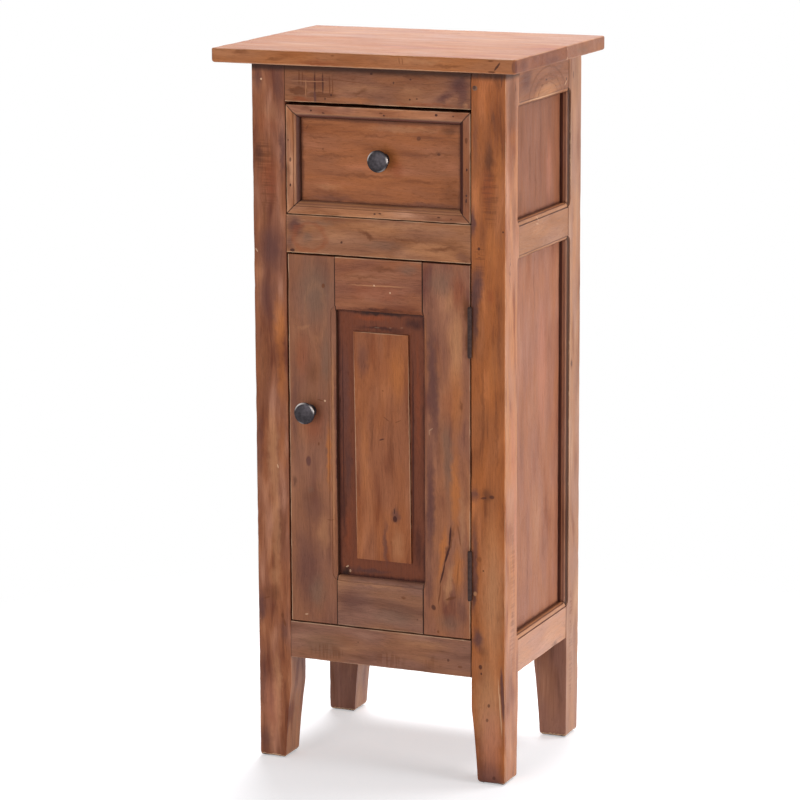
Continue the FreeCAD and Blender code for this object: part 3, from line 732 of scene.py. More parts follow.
def worn(node_name, grain, seed, loss=ARRIS_LOSS, outer=None, foot=False):
    """A board cut from its plain shape: every point only moves inwards, but the raised field leans."""
    source = nodes[node_name]
    low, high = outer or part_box(node_name)
    mesh = bmesh.new()
    mesh.from_mesh(source.data)
    bmesh.ops.remove_doubles(mesh, verts=mesh.verts, dist=WELD)
    bmesh.ops.dissolve_limit(mesh, angle_limit=FLAT_ANGLE, verts=mesh.verts, edges=mesh.edges)
    arrises = [edge for edge in mesh.edges if is_arris(edge, low, high)]
    bmesh.ops.bevel(
        mesh, geom=arrises, offset=SOFTENED, offset_type="OFFSET", segments=2, profile=0.5,
        affect="EDGES", clamp_overlap=False, loop_slide=True,
    )
    for level in FOOT_CUTS if foot else ():
        cut_across(mesh, 2, level)
    for axis in range(3) if outer else ():
        for cut in TOP_CUTS:
            cut_across(mesh, axis, low[axis] + cut)
            cut_across(mesh, axis, high[axis] - cut)
    for axis in range(3):
        cut_slices(mesh, axis, low, high, SLICE_ALONG if AXES[axis] == grain else SLICE_ACROSS)
    mesh.normal_update()
    shift = Vector([seed * share for share in SEED_SHIFTS])
    places = []
    for vert in mesh.verts:
        depth = wear_depth(vert.co, low, high, shift, loss)
        inset = Vector((0, 0, 0))
        if foot:
            inset = foot_inset(vert)
        elif outer:
            inset = corner_inset(vert.co, low, high)
        elif node_name == "door_panel":
            inset = lean(vert.co)
        places.append((vert, vert.co - vert.normal * depth + inset))
    for vert, place in places:
        vert.co = place
    bmesh.ops.triangulate(mesh, faces=mesh.faces)
    data = bpy.data.meshes.new("worn_" + node_name)
    mesh.to_mesh(data)
    mesh.free()
    unused = [
        attribute.name
        for attribute in data.attributes
        if attribute.name == "custom_normal" or attribute.data_type == "FLOAT2"
    ]
    for name in unused:
        data.attributes.remove(data.attributes[name])
    data.polygons.foreach_set("use_smooth", [True] * len(data.polygons))
    data.set_sharp_from_angle(angle=SMOOTH_ANGLE)
    piece = bpy.data.objects.new("worn_" + node_name, data)
    bpy.context.scene.collection.objects.link(piece)
    weighted = piece.modifiers.new("even shading", "WEIGHTED_NORMAL")
    weighted.keep_sharp = True
    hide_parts(node_name)
    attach(piece, source["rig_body"])
    return piece

# Planes of the visible faces and edges of the openings, in mm
POST_FACE = -105.25
FRAME_FACE = -104.65
DRAWER_FACE = -94.65
MARGIN_FACE = -95.15
FIELD_FACE = -98.35
SIDE_POST_FACE = 166.5
SIDE_RAIL_FACE = 165.9
SIDE_PANEL_FACE = 154.5
TOP_FACE = 900.0
TOP_UNDERSIDE = 882.0
TOP_FRONT_FACE = -152.75
TOP_END_FACE = 197.5
OPENING = 122.0
SIDE_FRONT = -60.75
SIDE_BACK = 108.25
DOOR_LEFT = -57.7
DOOR_RIGHT = 58.2
DOOR_BOTTOM = 182.5
DOOR_TOP = 646.0
MOULDING_HALF = 121.0
MOULDING_BOTTOM = 695.8
MOULDING_TOP = 829.4

# Spots on each board: colour, strength, place across and up, half sizes and tilt
LEFT_POST_FRONT = at("y", POST_FACE, [
    soft(PLUM, 0.75, -158, 862, 11, 26), soft(PLUM, 0.6, -130, 856, 11, 36),
    soft(RUST, 0.35, -146, 806, 20, 18), soft(TAN, 0.25, -139, 818, 12, 20),
    saw(UMBER, 0.65, -150, 762, 15, 30, 6), soft(DARK, 0.55, -157, 770, 9, 16),
    soft(RUST, 0.5, -143, 735, 20, 40), saw(UMBER, 0.6, -144, 722, 14, 26, -4),
    soft(UMBER, 0.5, -150, 700, 4, 46), soft(PLUM, 0.85, -126, 772, 6, 50),
    soft(PLUM, 0.9, -143, 652, 28, 42), soft(PLUM, 0.6, -150, 590, 18, 46),
    soft(ORANGE, 0.7, -132, 556, 10, 50), soft(ORANGE, 0.5, -130, 490, 9, 50),
    soft(UMBER, 0.45, -154, 500, 12, 90), soft(PLUM, 0.55, -163, 400, 8, 80),
    soft(TAN, 0.6, -143, 398, 11, 70), soft(ORANGE, 0.35, -130, 400, 8, 60),
    soft(TAN, 0.5, -140, 300, 9, 130), soft(UMBER, 0.35, -131, 300, 8, 60),
    soft(PLUM, 0.9, -162, 196, 9, 30), soft(UMBER, 0.6, -146, 214, 18, 16),
    soft(TAN, 0.35, -142, 236, 12, 16), soft(PLUM, 0.6, -130, 166, 9, 20), soft(PLUM, 0.6, -160, 96, 9, 50),
    soft(PLUM, 0.75, -158, 24, 13, 34), soft(TAN, 0.75, -141, 86, 8, 70), soft(PINK, 0.4, -148, 70, 20, 60),
    blot(UMBER, 0.75, -133, 187, 2.4, 4.5), blot(UMBER, 0.75, -130, 178, 2, 6, 15),
    blot(UMBER, 0.6, -154, 208, 6, 1.5, 20), dot(CREAM, 0.9, -153, 859, 1.5, 1.5),
    dot(CREAM, 0.6, -162, 648, 0.9, 3, 35), dot(CREAM, 0.6, -137, 378, 0.9, 3, 20),
])
RIGHT_POST_FRONT = at("y", POST_FACE, [
    soft(UMBER, 0.45, 156, 866, 6, 16), soft(UMBER, 0.55, 150, 826, 3, 12),
    soft(PLUM, 0.3, 128, 800, 5, 40), soft(UMBER, 0.95, 145, 774, 11, 30),
    soft(RUST, 0.5, 143, 740, 13, 34), saw(UMBER, 0.5, 146, 730, 13, 46),
    soft(ORANGE, 0.4, 158, 760, 5, 60), soft(PLUM, 0.95, 125, 700, 6, 26),
    soft(ORANGE, 0.4, 150, 670, 12, 40), saw(UMBER, 0.5, 133, 650, 9, 30),
    soft(PLUM, 0.95, 129, 618, 13, 42, -6), soft(SHADE, 0.9, 126, 585, 8, 60),
    soft(RUST, 0.45, 148, 609, 8, 14), soft(ORANGE, 0.35, 150, 520, 10, 60),
    soft(UMBER, 0.4, 138, 480, 3, 70), soft(UMBER, 0.35, 155, 440, 3, 70), soft(PLUM, 0.8, 127, 366, 8, 14),
    soft(UMBER, 0.8, 143, 366, 12, 12), soft(ORANGE, 0.5, 149, 310, 12, 44),
    soft(PLUM, 0.85, 126.5, 280, 6, 76), soft(SHADE, 0.8, 125, 240, 5, 30),
    soft(TAN, 0.35, 150, 240, 9, 60), soft(PLUM, 0.95, 131, 184, 11, 20, 12),
    soft(UMBER, 0.6, 138, 170, 9, 10), blot(PLUM, 0.95, 163, 116, 2.8, 42, 3),
    blot(CREAM, 0.45, 160, 100, 1.2, 44, 4), soft(UMBER, 0.6, 140, 14, 22, 50, 20),
    soft(PLUM, 0.95, 147, 2, 32, 42, 16), soft(TAN, 0.8, 144, 96, 26, 80), soft(PINK, 0.5, 148, 56, 22, 70),
    soft(TAN, 0.6, 150, 230, 22, 150), dot(GREY, 0.95, 127, 859, 3.4, 3.4),
    dot(DARK, 0.6, 126.2, 859.8, 2.5, 2.5), blot(UMBER, 0.7, 161, 868, 1.5, 9),
    blot(DARK, 0.85, 132, 667, 2.2, 2.4), dot(UMBER, 0.7, 132, 661, 1.7, 0.9),
    dot(UMBER, 0.7, 132.5, 657, 1.9, 0.9), blot(DARK, 0.8, 163, 689, 1.6, 1.8),
    blot(DARK, 0.7, 149, 364, 4.2, 3), blot(DARK, 0.7, 138, 362, 5, 1.8, 12),
    blot(UMBER, 0.5, 133, 285, 3.5, 4.2), dot(BLACK, 0.9, 138, 271, 1, 1.2),
    blot(TAN, 0.7, 127, 241, 2.8, 3.6), blot(DARK, 0.8, 134, 149, 3, 3.6),
    blot(DARK, 0.8, 135, 141, 1.6, 2), blot(DARK, 0.7, 145, 101, 2.4, 3), blot(DARK, 0.6, 143, 82, 2.2, 3),
    blot(DARK, 0.6, 152, 9, 2.6, 3),
])
RIGHT_POST_SIDE = at("x", SIDE_POST_FACE, [
    soft(UMBER, 0.65, -85, 846, 26, 56), soft(RUST, 0.3, -88, 770, 18, 60),
    soft(TAN, 0.7, -98, 470, 6, 130), soft(PINK, 0.5, -72, 330, 6, 130), soft(PLUM, 0.5, -78, 704, 13, 54),
    soft(DARK, 0.6, -91, 645, 1.7, 42), soft(ORANGE, 0.7, -82, 800, 13, 18),
    soft(DARK, 0.6, -76, 858, 1.6, 13), soft(PINK, 0.4, -80, 420, 12, 80),
    saw(UMBER, 0.26, -80, 260, 11, 90), saw(UMBER, 0.24, -82, 180, 10, 50),
    soft(UMBER, 0.5, -86, 800, 22, 90), blot(CREAM, 0.6, -66.2, 414, 0.9, 236),
    blot(CREAM, 0.6, -66.2, 764, 0.9, 70), soft(PLUM, 0.3, -90, 130, 14, 60),
    soft(PLUM, 0.3, -78, 60, 12, 40),
])
BACK_POST_SIDE = at("x", SIDE_POST_FACE, [
    soft(UMBER, 0.4, 134, 846, 14, 44), blot(DARK, 0.75, 122, 853, 1.6, 6), soft(TAN, 0.6, 120, 560, 5, 90),
    saw(UMBER, 0.3, 123, 100, 8, 70), saw(UMBER, 0.4, 123, 174, 6, 32), soft(UMBER, 0.55, 122, 489, 6, 12),
    blot(DARK, 0.6, 121, 489, 3.6, 4.2), soft(TAN, 0.5, 130, 640, 10, 90),
    blot(CREAM, 0.6, 115.2, 414, 0.9, 236), blot(CREAM, 0.6, 115.2, 764, 0.9, 70),
    soft(PLUM, 0.25, 140, 470, 9, 80), soft(PLUM, 0.25, 138, 120, 10, 60),
])
TOP_RAIL_FRONT = at("y", FRAME_FACE, [
    soft(PLUM, 0.35, -98, 858, 22, 12), soft(RUST, 0.6, -100, 836, 20, 5),
    soft(ORANGE, 0.4, -30, 838, 40, 5), soft(TAN, 0.35, -20, 852, 44, 8),
    soft(UMBER, 0.45, -28, 846, 24, 4), soft(UMBER, 0.4, -40, 866, 34, 6),
    soft(UMBER, 0.5, 50, 869, 40, 4, -4), soft(TAN, 0.35, 45, 852, 24, 10),
    soft(PLUM, 0.95, 106, 860, 24, 19), soft(PLUM, 0.95, 88, 846, 20, 8, 24),
    soft(SHADE, 0.7, 108, 862, 12, 12), soft(PLUM, 0.8, 112, 850, 11, 20), soft(RUST, 0.45, 60, 837, 60, 3),
    soft(TAN, 0.6, 116, 838, 5, 6), blot(UMBER, 0.8, -104, 846, 16, 5.5),
    blot(UMBER, 0.7, -72, 842, 24, 4.5, 2), blot(UMBER, 0.8, -102.5, 862, 1.3, 11),
    blot(UMBER, 0.7, -98, 862, 1.2, 10), blot(DARK, 0.75, -81.5, 856, 1.5, 18),
    blot(PLUM, 0.9, -81.5, 840, 2.2, 9), blot(DARK, 0.75, -71, 857, 1.5, 16),
    blot(UMBER, 0.7, -62, 855, 1.4, 15), blot(UMBER, 0.6, -58, 853, 1.2, 13),
    blot(UMBER, 0.6, -93, 846, 1.2, 10), blot(TAN, 0.7, -93.5, 849, 0.9, 14),
    blot(TAN, 0.65, -90, 858.5, 30, 0.9, 1), blot(UMBER, 0.5, -46, 861, 40, 0.9, -4),
    soft(UMBER, 0.5, -22, 848, 14, 4, 18), dot(DARK, 0.8, 43, 842, 1.6, 1.1),
    dot(DARK, 0.8, 52, 843, 1.4, 1), dot(DARK, 0.75, -7, 871, 1.9, 1.5), dot(DARK, 0.7, 44, 866, 1.5, 1.2),
    dot(DARK, 0.7, 22, 861, 1.2, 1.6), dot(DARK, 0.7, -60, 843, 1.5, 1.5),
    dot(DARK, 0.7, -68, 838, 1.4, 1.4),
])
MIDDLE_RAIL_FRONT = at("y", FRAME_FACE, [
    soft(PLUM, 0.95, -110, 682, 18, 16), soft(PLUM, 0.6, -117, 660, 8, 14),
    soft(GREY, 0.5, -80, 686, 36, 7), soft(GREY, 0.6, -94, 667, 11, 9), ring(RUST, 0.4, -91, 668, 21, 17),
    soft(UMBER, 0.8, -14, 675, 19, 3.8, -28), soft(GREY, 0.4, 10, 664, 40, 8),
    soft(UMBER, 0.7, 84, 664, 34, 4, 7), soft(UMBER, 0.5, 40, 672, 40, 3, -7),
    ring(UMBER, 0.35, 66, 650, 50, 24), soft(TAN, 0.45, 20, 688, 90, 6), soft(TAN, 0.3, -60, 672, 22, 12),
    soft(PLUM, 0.4, 110, 655, 14, 8), blot(DARK, 0.85, -48, 664, 1.9, 1.9),
    blot(DARK, 0.9, -114, 651, 4, 2.6),
])
BOTTOM_RAIL_FRONT = at("y", FRAME_FACE, [
    soft(GREY, 0.5, -80, 155, 44, 24), soft(PLUM, 0.35, 10, 150, 50, 12), soft(TAN, 0.35, 60, 170, 50, 8),
    blot(DARK, 0.6, 91, 153, 2, 2.4), dot(DARK, 0.5, -30, 163, 1.2, 1), blot(UMBER, 0.6, 107, 146, 4, 2),
    saw(UMBER, 0.45, -72, 146, 30, 13), saw(UMBER, 0.4, 14, 144, 26, 12), saw(UMBER, 0.35, 70, 146, 16, 10),
])
DRAWER_PANEL = at("y", DRAWER_FACE, [
    # The rust spot right of and below the knob is the knob's painted shadow
    soft(ORANGE, 0.55, 6, 766, 27, 27), soft(RUST, 0.55, 21, 756, 13, 17),
    soft(UMBER, 0.75, 90, 806, 17, 9), soft(UMBER, 0.5, 92, 730, 20, 24), soft(PLUM, 0.45, -60, 716, 50, 6),
    soft(PLUM, 0.5, 60, 714, 60, 5), soft(UMBER, 0.5, -84, 790, 22, 3), soft(UMBER, 0.45, -60, 768, 40, 3),
    soft(UMBER, 0.5, -20, 746, 60, 3.4), soft(UMBER, 0.45, 50, 742, 40, 3),
    soft(UMBER, 0.5, 70, 776, 40, 3, 3), soft(UMBER, 0.45, -10, 795, 36, 3),
    soft(TAN, 0.45, 30, 804, 70, 5), soft(TAN, 0.4, -70, 730, 26, 6), blot(DARK, 0.6, 50, 794, 3.6, 3, 12),
    blot(DARK, 0.6, 76, 776, 2.8, 2), dot(UMBER, 0.7, -76, 776, 1.4, 1.2),
    blot(UMBER, 0.6, -97, 802, 1.2, 4, -30),
])
MOULDING_HOLES = at("y", FRAME_FACE, [
    dot(DARK, 0.9, -87, 823, 1.5, 1.2), dot(DARK, 0.75, -71, 821, 2.2, 1.1, -15),
    dot(UMBER, 0.8, 5, 824, 2.6, 1.2), dot(DARK, 0.9, 9, 821.5, 1.5, 1.2),
    dot(DARK, 0.9, 77, 824.5, 2.2, 1.7), dot(DARK, 0.8, 99, 824, 1.3, 1.1),
    dot(DARK, 0.8, -118, 786, 1, 1.3), dot(DARK, 0.7, -115.5, 762, 1.4, 3),
    dot(DARK, 0.9, -115.5, 731, 1.2, 2.2), dot(DARK, 0.9, -4, 701.5, 1.6, 1.2),
    dot(DARK, 0.8, 3, 702, 2, 1), dot(DARK, 0.7, 80, 702, 2.3, 1.1), dot(DARK, 0.8, 96, 700.5, 1.1, 1),
    dot(UMBER, 0.9, 115.5, 796, 1.9, 4), dot(DARK, 0.9, 116, 761, 1.2, 2),
    dot(DARK, 0.9, 115.5, 730, 1.3, 1.6), dot(DARK, 0.8, 115.5, 724, 1.3, 3),
])
DOOR_TOP_RAIL = at("y", FRAME_FACE, [
    # The dark band along the rail's lower edge is partly stain and partly painted shadow
    soft(RUST, 0.4, 0, 605, 60, 16), soft(UMBER, 0.5, 9, 634, 34, 4), soft(UMBER, 0.45, -20, 624, 30, 3),
    soft(DARK, 0.7, 0, 582, 62, 4.5), soft(GREY, 0.5, 40, 636, 20, 10),
    blot(TAN, 0.75, 0, 613.5, 48, 0.9, 1), dot(CREAM, 0.8, -5, 614, 1.2, 1.1),
    dot(CREAM, 0.8, 16, 606, 1.1, 1.1),
])
DOOR_BOTTOM_RAIL = at("y", FRAME_FACE, [
    soft(PLUM, 0.5, -40, 216, 28, 22), soft(GREY, 0.5, 20, 200, 40, 16), soft(TAN, 0.4, 0, 238, 55, 4),
    blot(UMBER, 0.6, 32, 226, 3.6, 2.6), dot(DARK, 0.5, 50, 200, 1.1, 1.3),
])
LATCH_STILE = at("y", FRAME_FACE, [
    soft(GREY, 0.8, -84, 600, 34, 56), soft(GREY, 0.6, -70, 520, 12, 60), ring(TAN, 0.14, -84, 576, 14, 34),
    soft(TAN, 0.3, -100, 556, 14, 4, 20), soft(RUST, 0.35, -102, 520, 16, 40),
    soft(UMBER, 0.5, -88, 500, 16, 22), soft(RUST, 0.45, -88, 436, 24, 34),
    soft(PLUM, 0.5, -113, 460, 6, 80), soft(UMBER, 0.4, -92, 344, 14, 16), soft(GREY, 0.4, -92, 352, 6, 6),
    soft(PLUM, 0.5, -88, 330, 24, 36), soft(ORANGE, 0.85, -67, 398, 4.6, 56),
    soft(TAN, 0.4, -75, 300, 12, 34), soft(PLUM, 0.75, -96, 250, 26, 70), soft(GREY, 0.6, -84, 222, 16, 30),
    soft(DARK, 0.5, -115, 361, 5, 11), soft(PLUM, 0.8, -60, 460, 3.4, 60),
    # The long tan and dark lines beside the opening paint the light and shade on the stile's moulded edge
    soft(UMBER, 0.5, -60, 320, 3, 50), blot(UMBER, 0.55, -66.5, 412, 1, 170),
    blot(TAN, 0.45, -62.3, 412, 2.6, 170), blot(DARK, 0.95, -58.2, 412, 1.2, 169),
    blot(TAN, 0.75, -56.3, 412, 0.9, 167), blot(UMBER, 0.8, -73, 609, 2.8, 3.6),
    blot(PLUM, 0.95, -95, 388, 4.4, 8), blot(UMBER, 0.7, -81, 411, 1.6, 2.8),
    dot(CREAM, 0.8, -72, 466, 1.3, 1.3), dot(UMBER, 0.6, -78, 466, 5, 0.8, -10),
    dot(UMBER, 0.6, -66, 316, 5, 0.8), dot(CREAM, 0.5, -100, 192, 2.4, 0.9, 10),
])
PANEL_FIELD = at("y", FIELD_FACE, [
    soft(PLUM, 0.55, -24, 520, 13, 30), soft(ORANGE, 0.55, 22, 505, 16, 50),
    soft(UMBER, 0.35, -12, 440, 4, 60), soft(UMBER, 0.35, 14, 420, 4, 70),
    soft(ORANGE, 0.35, -22, 410, 9, 70), soft(PLUM, 0.7, 5, 290, 5, 44), soft(TAN, 0.4, 22, 290, 12, 30),
    soft(PLUM, 0.8, 19, 328, 9, 15), blot(DARK, 0.9, 18, 323, 3.6, 5), dot(BLACK, 0.8, 17.4, 333, 0.7, 4),
    dot(DARK, 0.75, 1, 422, 4, 1, 15), dot(UMBER, 0.6, 3, 483, 1.6, 1),
    dot(UMBER, 0.6, 7, 448, 5, 0.8, -30), dot(UMBER, 0.6, 23, 446, 5, 0.8, 25),
    blot(CREAM, 0.35, -34.3, 411, 0.8, 150, 0.62), blot(CREAM, 0.3, 37.8, 411, 0.8, 150, 0.62),
    blot(CREAM, 0.3, 0, 553.6, 40, 0.8),
])
PANEL_MARGIN = at("y", MARGIN_FACE, [
    # The black band along the margin's top, the dark band just above the field and the dark line beside the
    # field's right side are painted shadow
    soft(DARK, 0.8, 43, 568, 20, 12), soft(PLUM, 0.7, -50, 470, 10, 90), soft(SHADE, 0.7, -46, 380, 8, 60),
    soft(DARK, 0.6, -52, 330, 6, 60), soft(RUST, 0.4, 48, 470, 5, 100), soft(RUST, 0.3, -46, 300, 7, 40),
    soft(DARK, 0.6, 48, 290, 8, 40), soft(SHADE, 0.8, -20, 253, 44, 5), soft(RUST, 0.6, -12, 572, 34, 6),
    soft(DARK, 0.8, 0, 559, 44, 4), soft(BLACK, 0.8, 0, 578, 62, 4), soft(BLACK, 0.85, -50, 249, 9, 8, 30),
    blot(DARK, 0.7, -52, 422, 1.2, 150), blot(DARK, 0.8, 41.5, 410, 1.6, 150),
    dot(CREAM, 0.55, -48, 256, 2.4, 1.2, 30), dot(CREAM, 0.5, -44, 251, 1.4, 2),
    dot(CREAM, 0.14, -6, 560, 4, 0.7), dot(CREAM, 0.14, 12, 561, 2, 0.7), dot(CREAM, 0.14, 27, 562, 2, 0.7),
])
HINGE_STILE = at("y", FRAME_FACE, [
    soft(GREY, 0.55, 84, 622, 28, 24), soft(RUST, 0.45, 104, 612, 14, 30), soft(TAN, 0.45, 94, 600, 9, 24),
    soft(PLUM, 0.95, 72, 500, 11, 130, 3), soft(PLUM, 0.95, 68, 350, 9, 110),
    soft(GREY, 0.6, 90, 420, 11, 110, 4), soft(TAN, 0.75, 103, 545, 11, 60),
    soft(ORANGE, 0.5, 102, 480, 12, 60), soft(RUST, 0.4, 88, 470, 12, 40),
    soft(ORANGE, 0.75, 101, 366, 9, 80), soft(TAN, 0.5, 110, 330, 6, 60),
    soft(ORANGE, 0.8, 84, 288, 6, 50, -8), soft(ORANGE, 0.8, 104, 268, 11, 44),
    soft(TAN, 0.7, 92, 250, 7, 36, -10), soft(PLUM, 0.55, 66, 248, 7, 44),
    soft(UMBER, 0.75, 109, 473, 3.4, 12), soft(UMBER, 0.9, 115.5, 592, 7, 26, 8),
    soft(UMBER, 0.85, 118, 550, 5, 30), soft(UMBER, 0.8, 118.5, 270, 4, 44),
    soft(PLUM, 0.6, 110, 214, 12, 22), soft(GREY, 0.5, 92, 200, 24, 16),
    soft(UMBER, 0.8, 93, 300, 4, 34, -16), blot(DARK, 0.95, 94, 310, 1.8, 17, -6),
    blot(DARK, 0.95, 90, 286, 1.9, 15, -17), blot(DARK, 0.9, 84, 262, 1.5, 18, -14),
    blot(UMBER, 0.8, 80, 236, 1.2, 16, -8), blot(UMBER, 0.6, 106, 312, 1.4, 18, 10),
    blot(UMBER, 0.5, 104, 262, 1.1, 30, -5), blot(DARK, 0.75, 72, 218, 3.6, 4.6, 20),
    blot(UMBER, 0.75, 95, 232, 9, 2.4, 20), blot(UMBER, 0.7, 78, 188, 2.2, 2.6),
    dot(CREAM, 0.25, 69, 441, 3.6, 0.9, 35), dot(CREAM, 0.2, 67, 437, 0.9, 3.6),
])
TOP_BOARD_FACE = at("z", TOP_FACE, [
    soft(UMBER, 0.45, 13, 114, 12, 4), blot(DARK, 0.45, 9, 111, 4, 1.4, 20),
    blot(DARK, 0.35, 17, 111, 5, 1.2, -20), soft(TAN, 0.35, 90, -14, 90, 4, 4),
    soft(RUST, 0.25, -40, -60, 90, 5, -2), soft(TAN, 0.25, -60, 60, 90, 8),
    soft(PINK, 0.35, 12, -68, 24, 14), soft(PINK, 0.2, 60, 60, 70, 14), soft(CREAM, 0.2, -110, -80, 60, 20),
])
TOP_FRONT_EDGE = at("y", TOP_FRONT_FACE, [
    soft(UMBER, 0.6, -158, 896, 16, 4), soft(RUST, 0.55, -58, 886, 40, 6), soft(TAN, 0.5, 80, 894, 50, 4),
    soft(UMBER, 0.5, -112, 889, 20, 3, 10), soft(UMBER, 0.5, 110, 889, 36, 2.5),
    blot(PLUM, 0.7, 195, 891, 3.5, 10), blot(DARK, 0.85, 174, 891, 1.7, 7.5, -35),
    blot(DARK, 0.7, 167, 884.5, 6, 1.6), dot(UMBER, 0.8, 166, 897.5, 4, 0.9),
    blot(UMBER, 0.5, 50, 893, 1, 5, 10), blot(UMBER, 0.5, 54, 893, 1, 5, 10),
    dot(UMBER, 0.5, -36, 896, 2.4, 1), blot(CREAM, 0.35, 0, 882.6, 230, 1.6),
])
TOP_RIGHT_END = at("x", TOP_END_FACE, [
    soft(PLUM, 0.6, -128, 891, 20, 11), soft(PLUM, 0.55, -30, 888, 40, 8), soft(GREY, 0.5, 70, 890, 30, 8),
    blot(CREAM, 0.8, 17, 897, 1.2, 3, 20), blot(CREAM, 0.8, 14, 889.5, 4, 1.2, 25),
    blot(CREAM, 0.7, 18, 884.5, 1, 2.5), dot(BLACK, 0.8, 16, 893, 0.8, 3, -30),
    dot(UMBER, 0.6, -120, 884, 1.4, 1),
])
SIDE_TOP_RAIL = at("x", SIDE_RAIL_FACE, [
    soft(PLUM, 0.7, -36, 864, 26, 20), soft(TAN, 0.85, 30, 842, 66, 15, 6),
    arc(UMBER, 0.5, 34, 834, 62, 38), arc(UMBER, 0.45, 34, 834, 48, 28), arc(UMBER, 0.5, 36, 834, 34, 19),
    soft(PLUM, 0.35, 84, 874, 30, 7), blot(CREAM, 0.55, 20, 836.5, 70, 0.9),
    blot(CREAM, 0.6, 98, 846, 7, 1.1, 35), dot(DARK, 0.8, 30, 857, 3, 1.2),
    dot(UMBER, 0.7, 16, 851, 4, 1, 20), dot(DARK, 0.8, 100, 850, 1.8, 2.4),
])
SIDE_MIDDLE_RAIL = at("x", SIDE_RAIL_FACE, [
    soft(TAN, 0.4, 20, 672, 50, 12), blot(CREAM, 0.6, 4, 690, 0.9, 4, 20),
    blot(CREAM, 0.5, 1, 684, 5, 0.8, -15), dot(UMBER, 0.4, -12, 668, 2, 1),
])
SIDE_UPPER_PANEL = at("x", SIDE_PANEL_FACE, [
    soft(UMBER, 0.5, 5, 765, 3, 60), soft(UMBER, 0.45, 24, 740, 2.5, 50), soft(UMBER, 0.5, 40, 790, 3, 40),
    soft(UMBER, 0.4, -24, 800, 12, 40), soft(UMBER, 0.45, -28, 715, 12, 20),
    soft(PINK, 0.35, 70, 740, 14, 60),
])
SIDE_LOWER_PANEL = at("x", SIDE_PANEL_FACE, [
    soft(UMBER, 0.35, 20, 610, 3, 50), soft(PINK, 0.4, 50, 500, 24, 120),
    soft(UMBER, 0.3, -20, 420, 10, 80), soft(TAN, 0.35, 30, 300, 26, 80), soft(UMBER, 0.35, 0, 240, 3, 50),
])

# Seams between boards, and a band of painted shadow and dirt under the top's overhang drawn the same way:
# normal, place along it, half width
SIDE_SEAMS = (((0, 1, 0), SIDE_FRONT, 1.4), ((0, 1, 0), SIDE_BACK, 1.2))
DOOR_SEAMS = (((1, 0, 0), DOOR_LEFT, 0.9), ((1, 0, 0), DOOR_RIGHT, 1.2))
POST_SEAMS = (((1, 0, 0), OPENING, 1.4), ((1, 0, 0), -OPENING, 0.6))
# Painted shadow and dirt under the top's overhang, as a wide dark band
UNDER_TOP_SHADOW_AND_DIRT = ((0, 0, 1), TOP_UNDERSIDE, 15.5)
# Stains and painted shade by depth, from (place, colour, strength): the mouldings' bands darken their
# recesses and their dirty quirks
SIDE_EDGE = (
    (154.2, BLACK, 0.0), (154.5, BLACK, 0.9), (155.4, DARK, 0.9), (157.9, DARK, 0.8), (158.3, UMBER, 0.85),
    (158.9, TAN, 0.35), (160.2, DARK, 0.55), (160.8, UMBER, 0.4), (162.0, DARK, 0.7), (162.6, TAN, 0.4),
    (163.4, DARK, 0.75), (164.4, BLACK, 0.85), (165.0, BLACK, 0.85), (165.3, CREAM, 0.4), (165.9, CREAM, 0.0),
)
RAIL_EDGE = (
    (154.2, BLACK, 0.0), (154.5, BLACK, 0.7), (158.6, DARK, 0.6), (159.6, TAN, 0.45), (161.6, TAN, 0.3),
    (162.1, DARK, 0.8), (162.7, DARK, 0.75), (163.1, TAN, 0.4), (164.7, TAN, 0.4), (164.95, DARK, 0.9),
    (165.3, DARK, 0.8), (165.6, DARK, 0.0),
)
MARGIN_STAIN = (
    (-97.9, MAHOGANY, 0.0), (-96.4, MAHOGANY, 0.93), (-93.6, MAHOGANY, 0.93), (-92.6, MAHOGANY, 0.0),
)
# The drawer moulding's top and right slopes are painted dark as shade, its bottom slope lighter as lit, and
# all darken deep by the panel as painted shade
DRAWER_EDGE = {
    "top": (
        (-104.55, DARK, 0.0), (-104.2, UMBER, 0.7), (-103.3, TAN, 0.4), (-102.9, GREY, 0.7),
        (-102.3, PLUM, 0.95), (-100.0, DARK, 0.9), (-97.5, BLACK, 0.95), (-94.0, BLACK, 0.95),
    ),
    "bottom": (
        (-104.55, UMBER, 0.0), (-104.2, UMBER, 0.7), (-103.3, UMBER, 0.6), (-103.1, TAN, 0.5),
        (-102.4, PLUM, 0.5), (-101.0, TAN, 0.5), (-99.0, GREY, 0.7), (-96.8, GREY, 0.5),
        (-95.6, DARK, 0.85), (-94.0, DARK, 0.8),
    ),
    "left": (
        (-104.55, DARK, 0.0), (-104.3, UMBER, 0.8), (-103.3, UMBER, 0.7), (-103.15, TAN, 0.3),
        (-102.95, GREY, 0.75), (-102.7, TAN, 0.4), (-102.4, PLUM, 0.85), (-101.0, SHADE, 0.95),
        (-98.5, DARK, 0.95), (-96.5, BLACK, 0.95), (-94.0, BLACK, 0.95),
    ),
    "right": (
        (-104.55, DARK, 0.0), (-104.2, UMBER, 0.8), (-103.3, DARK, 0.8), (-102.9, DARK, 0.95),
        (-94.0, BLACK, 0.95),
    ),
}
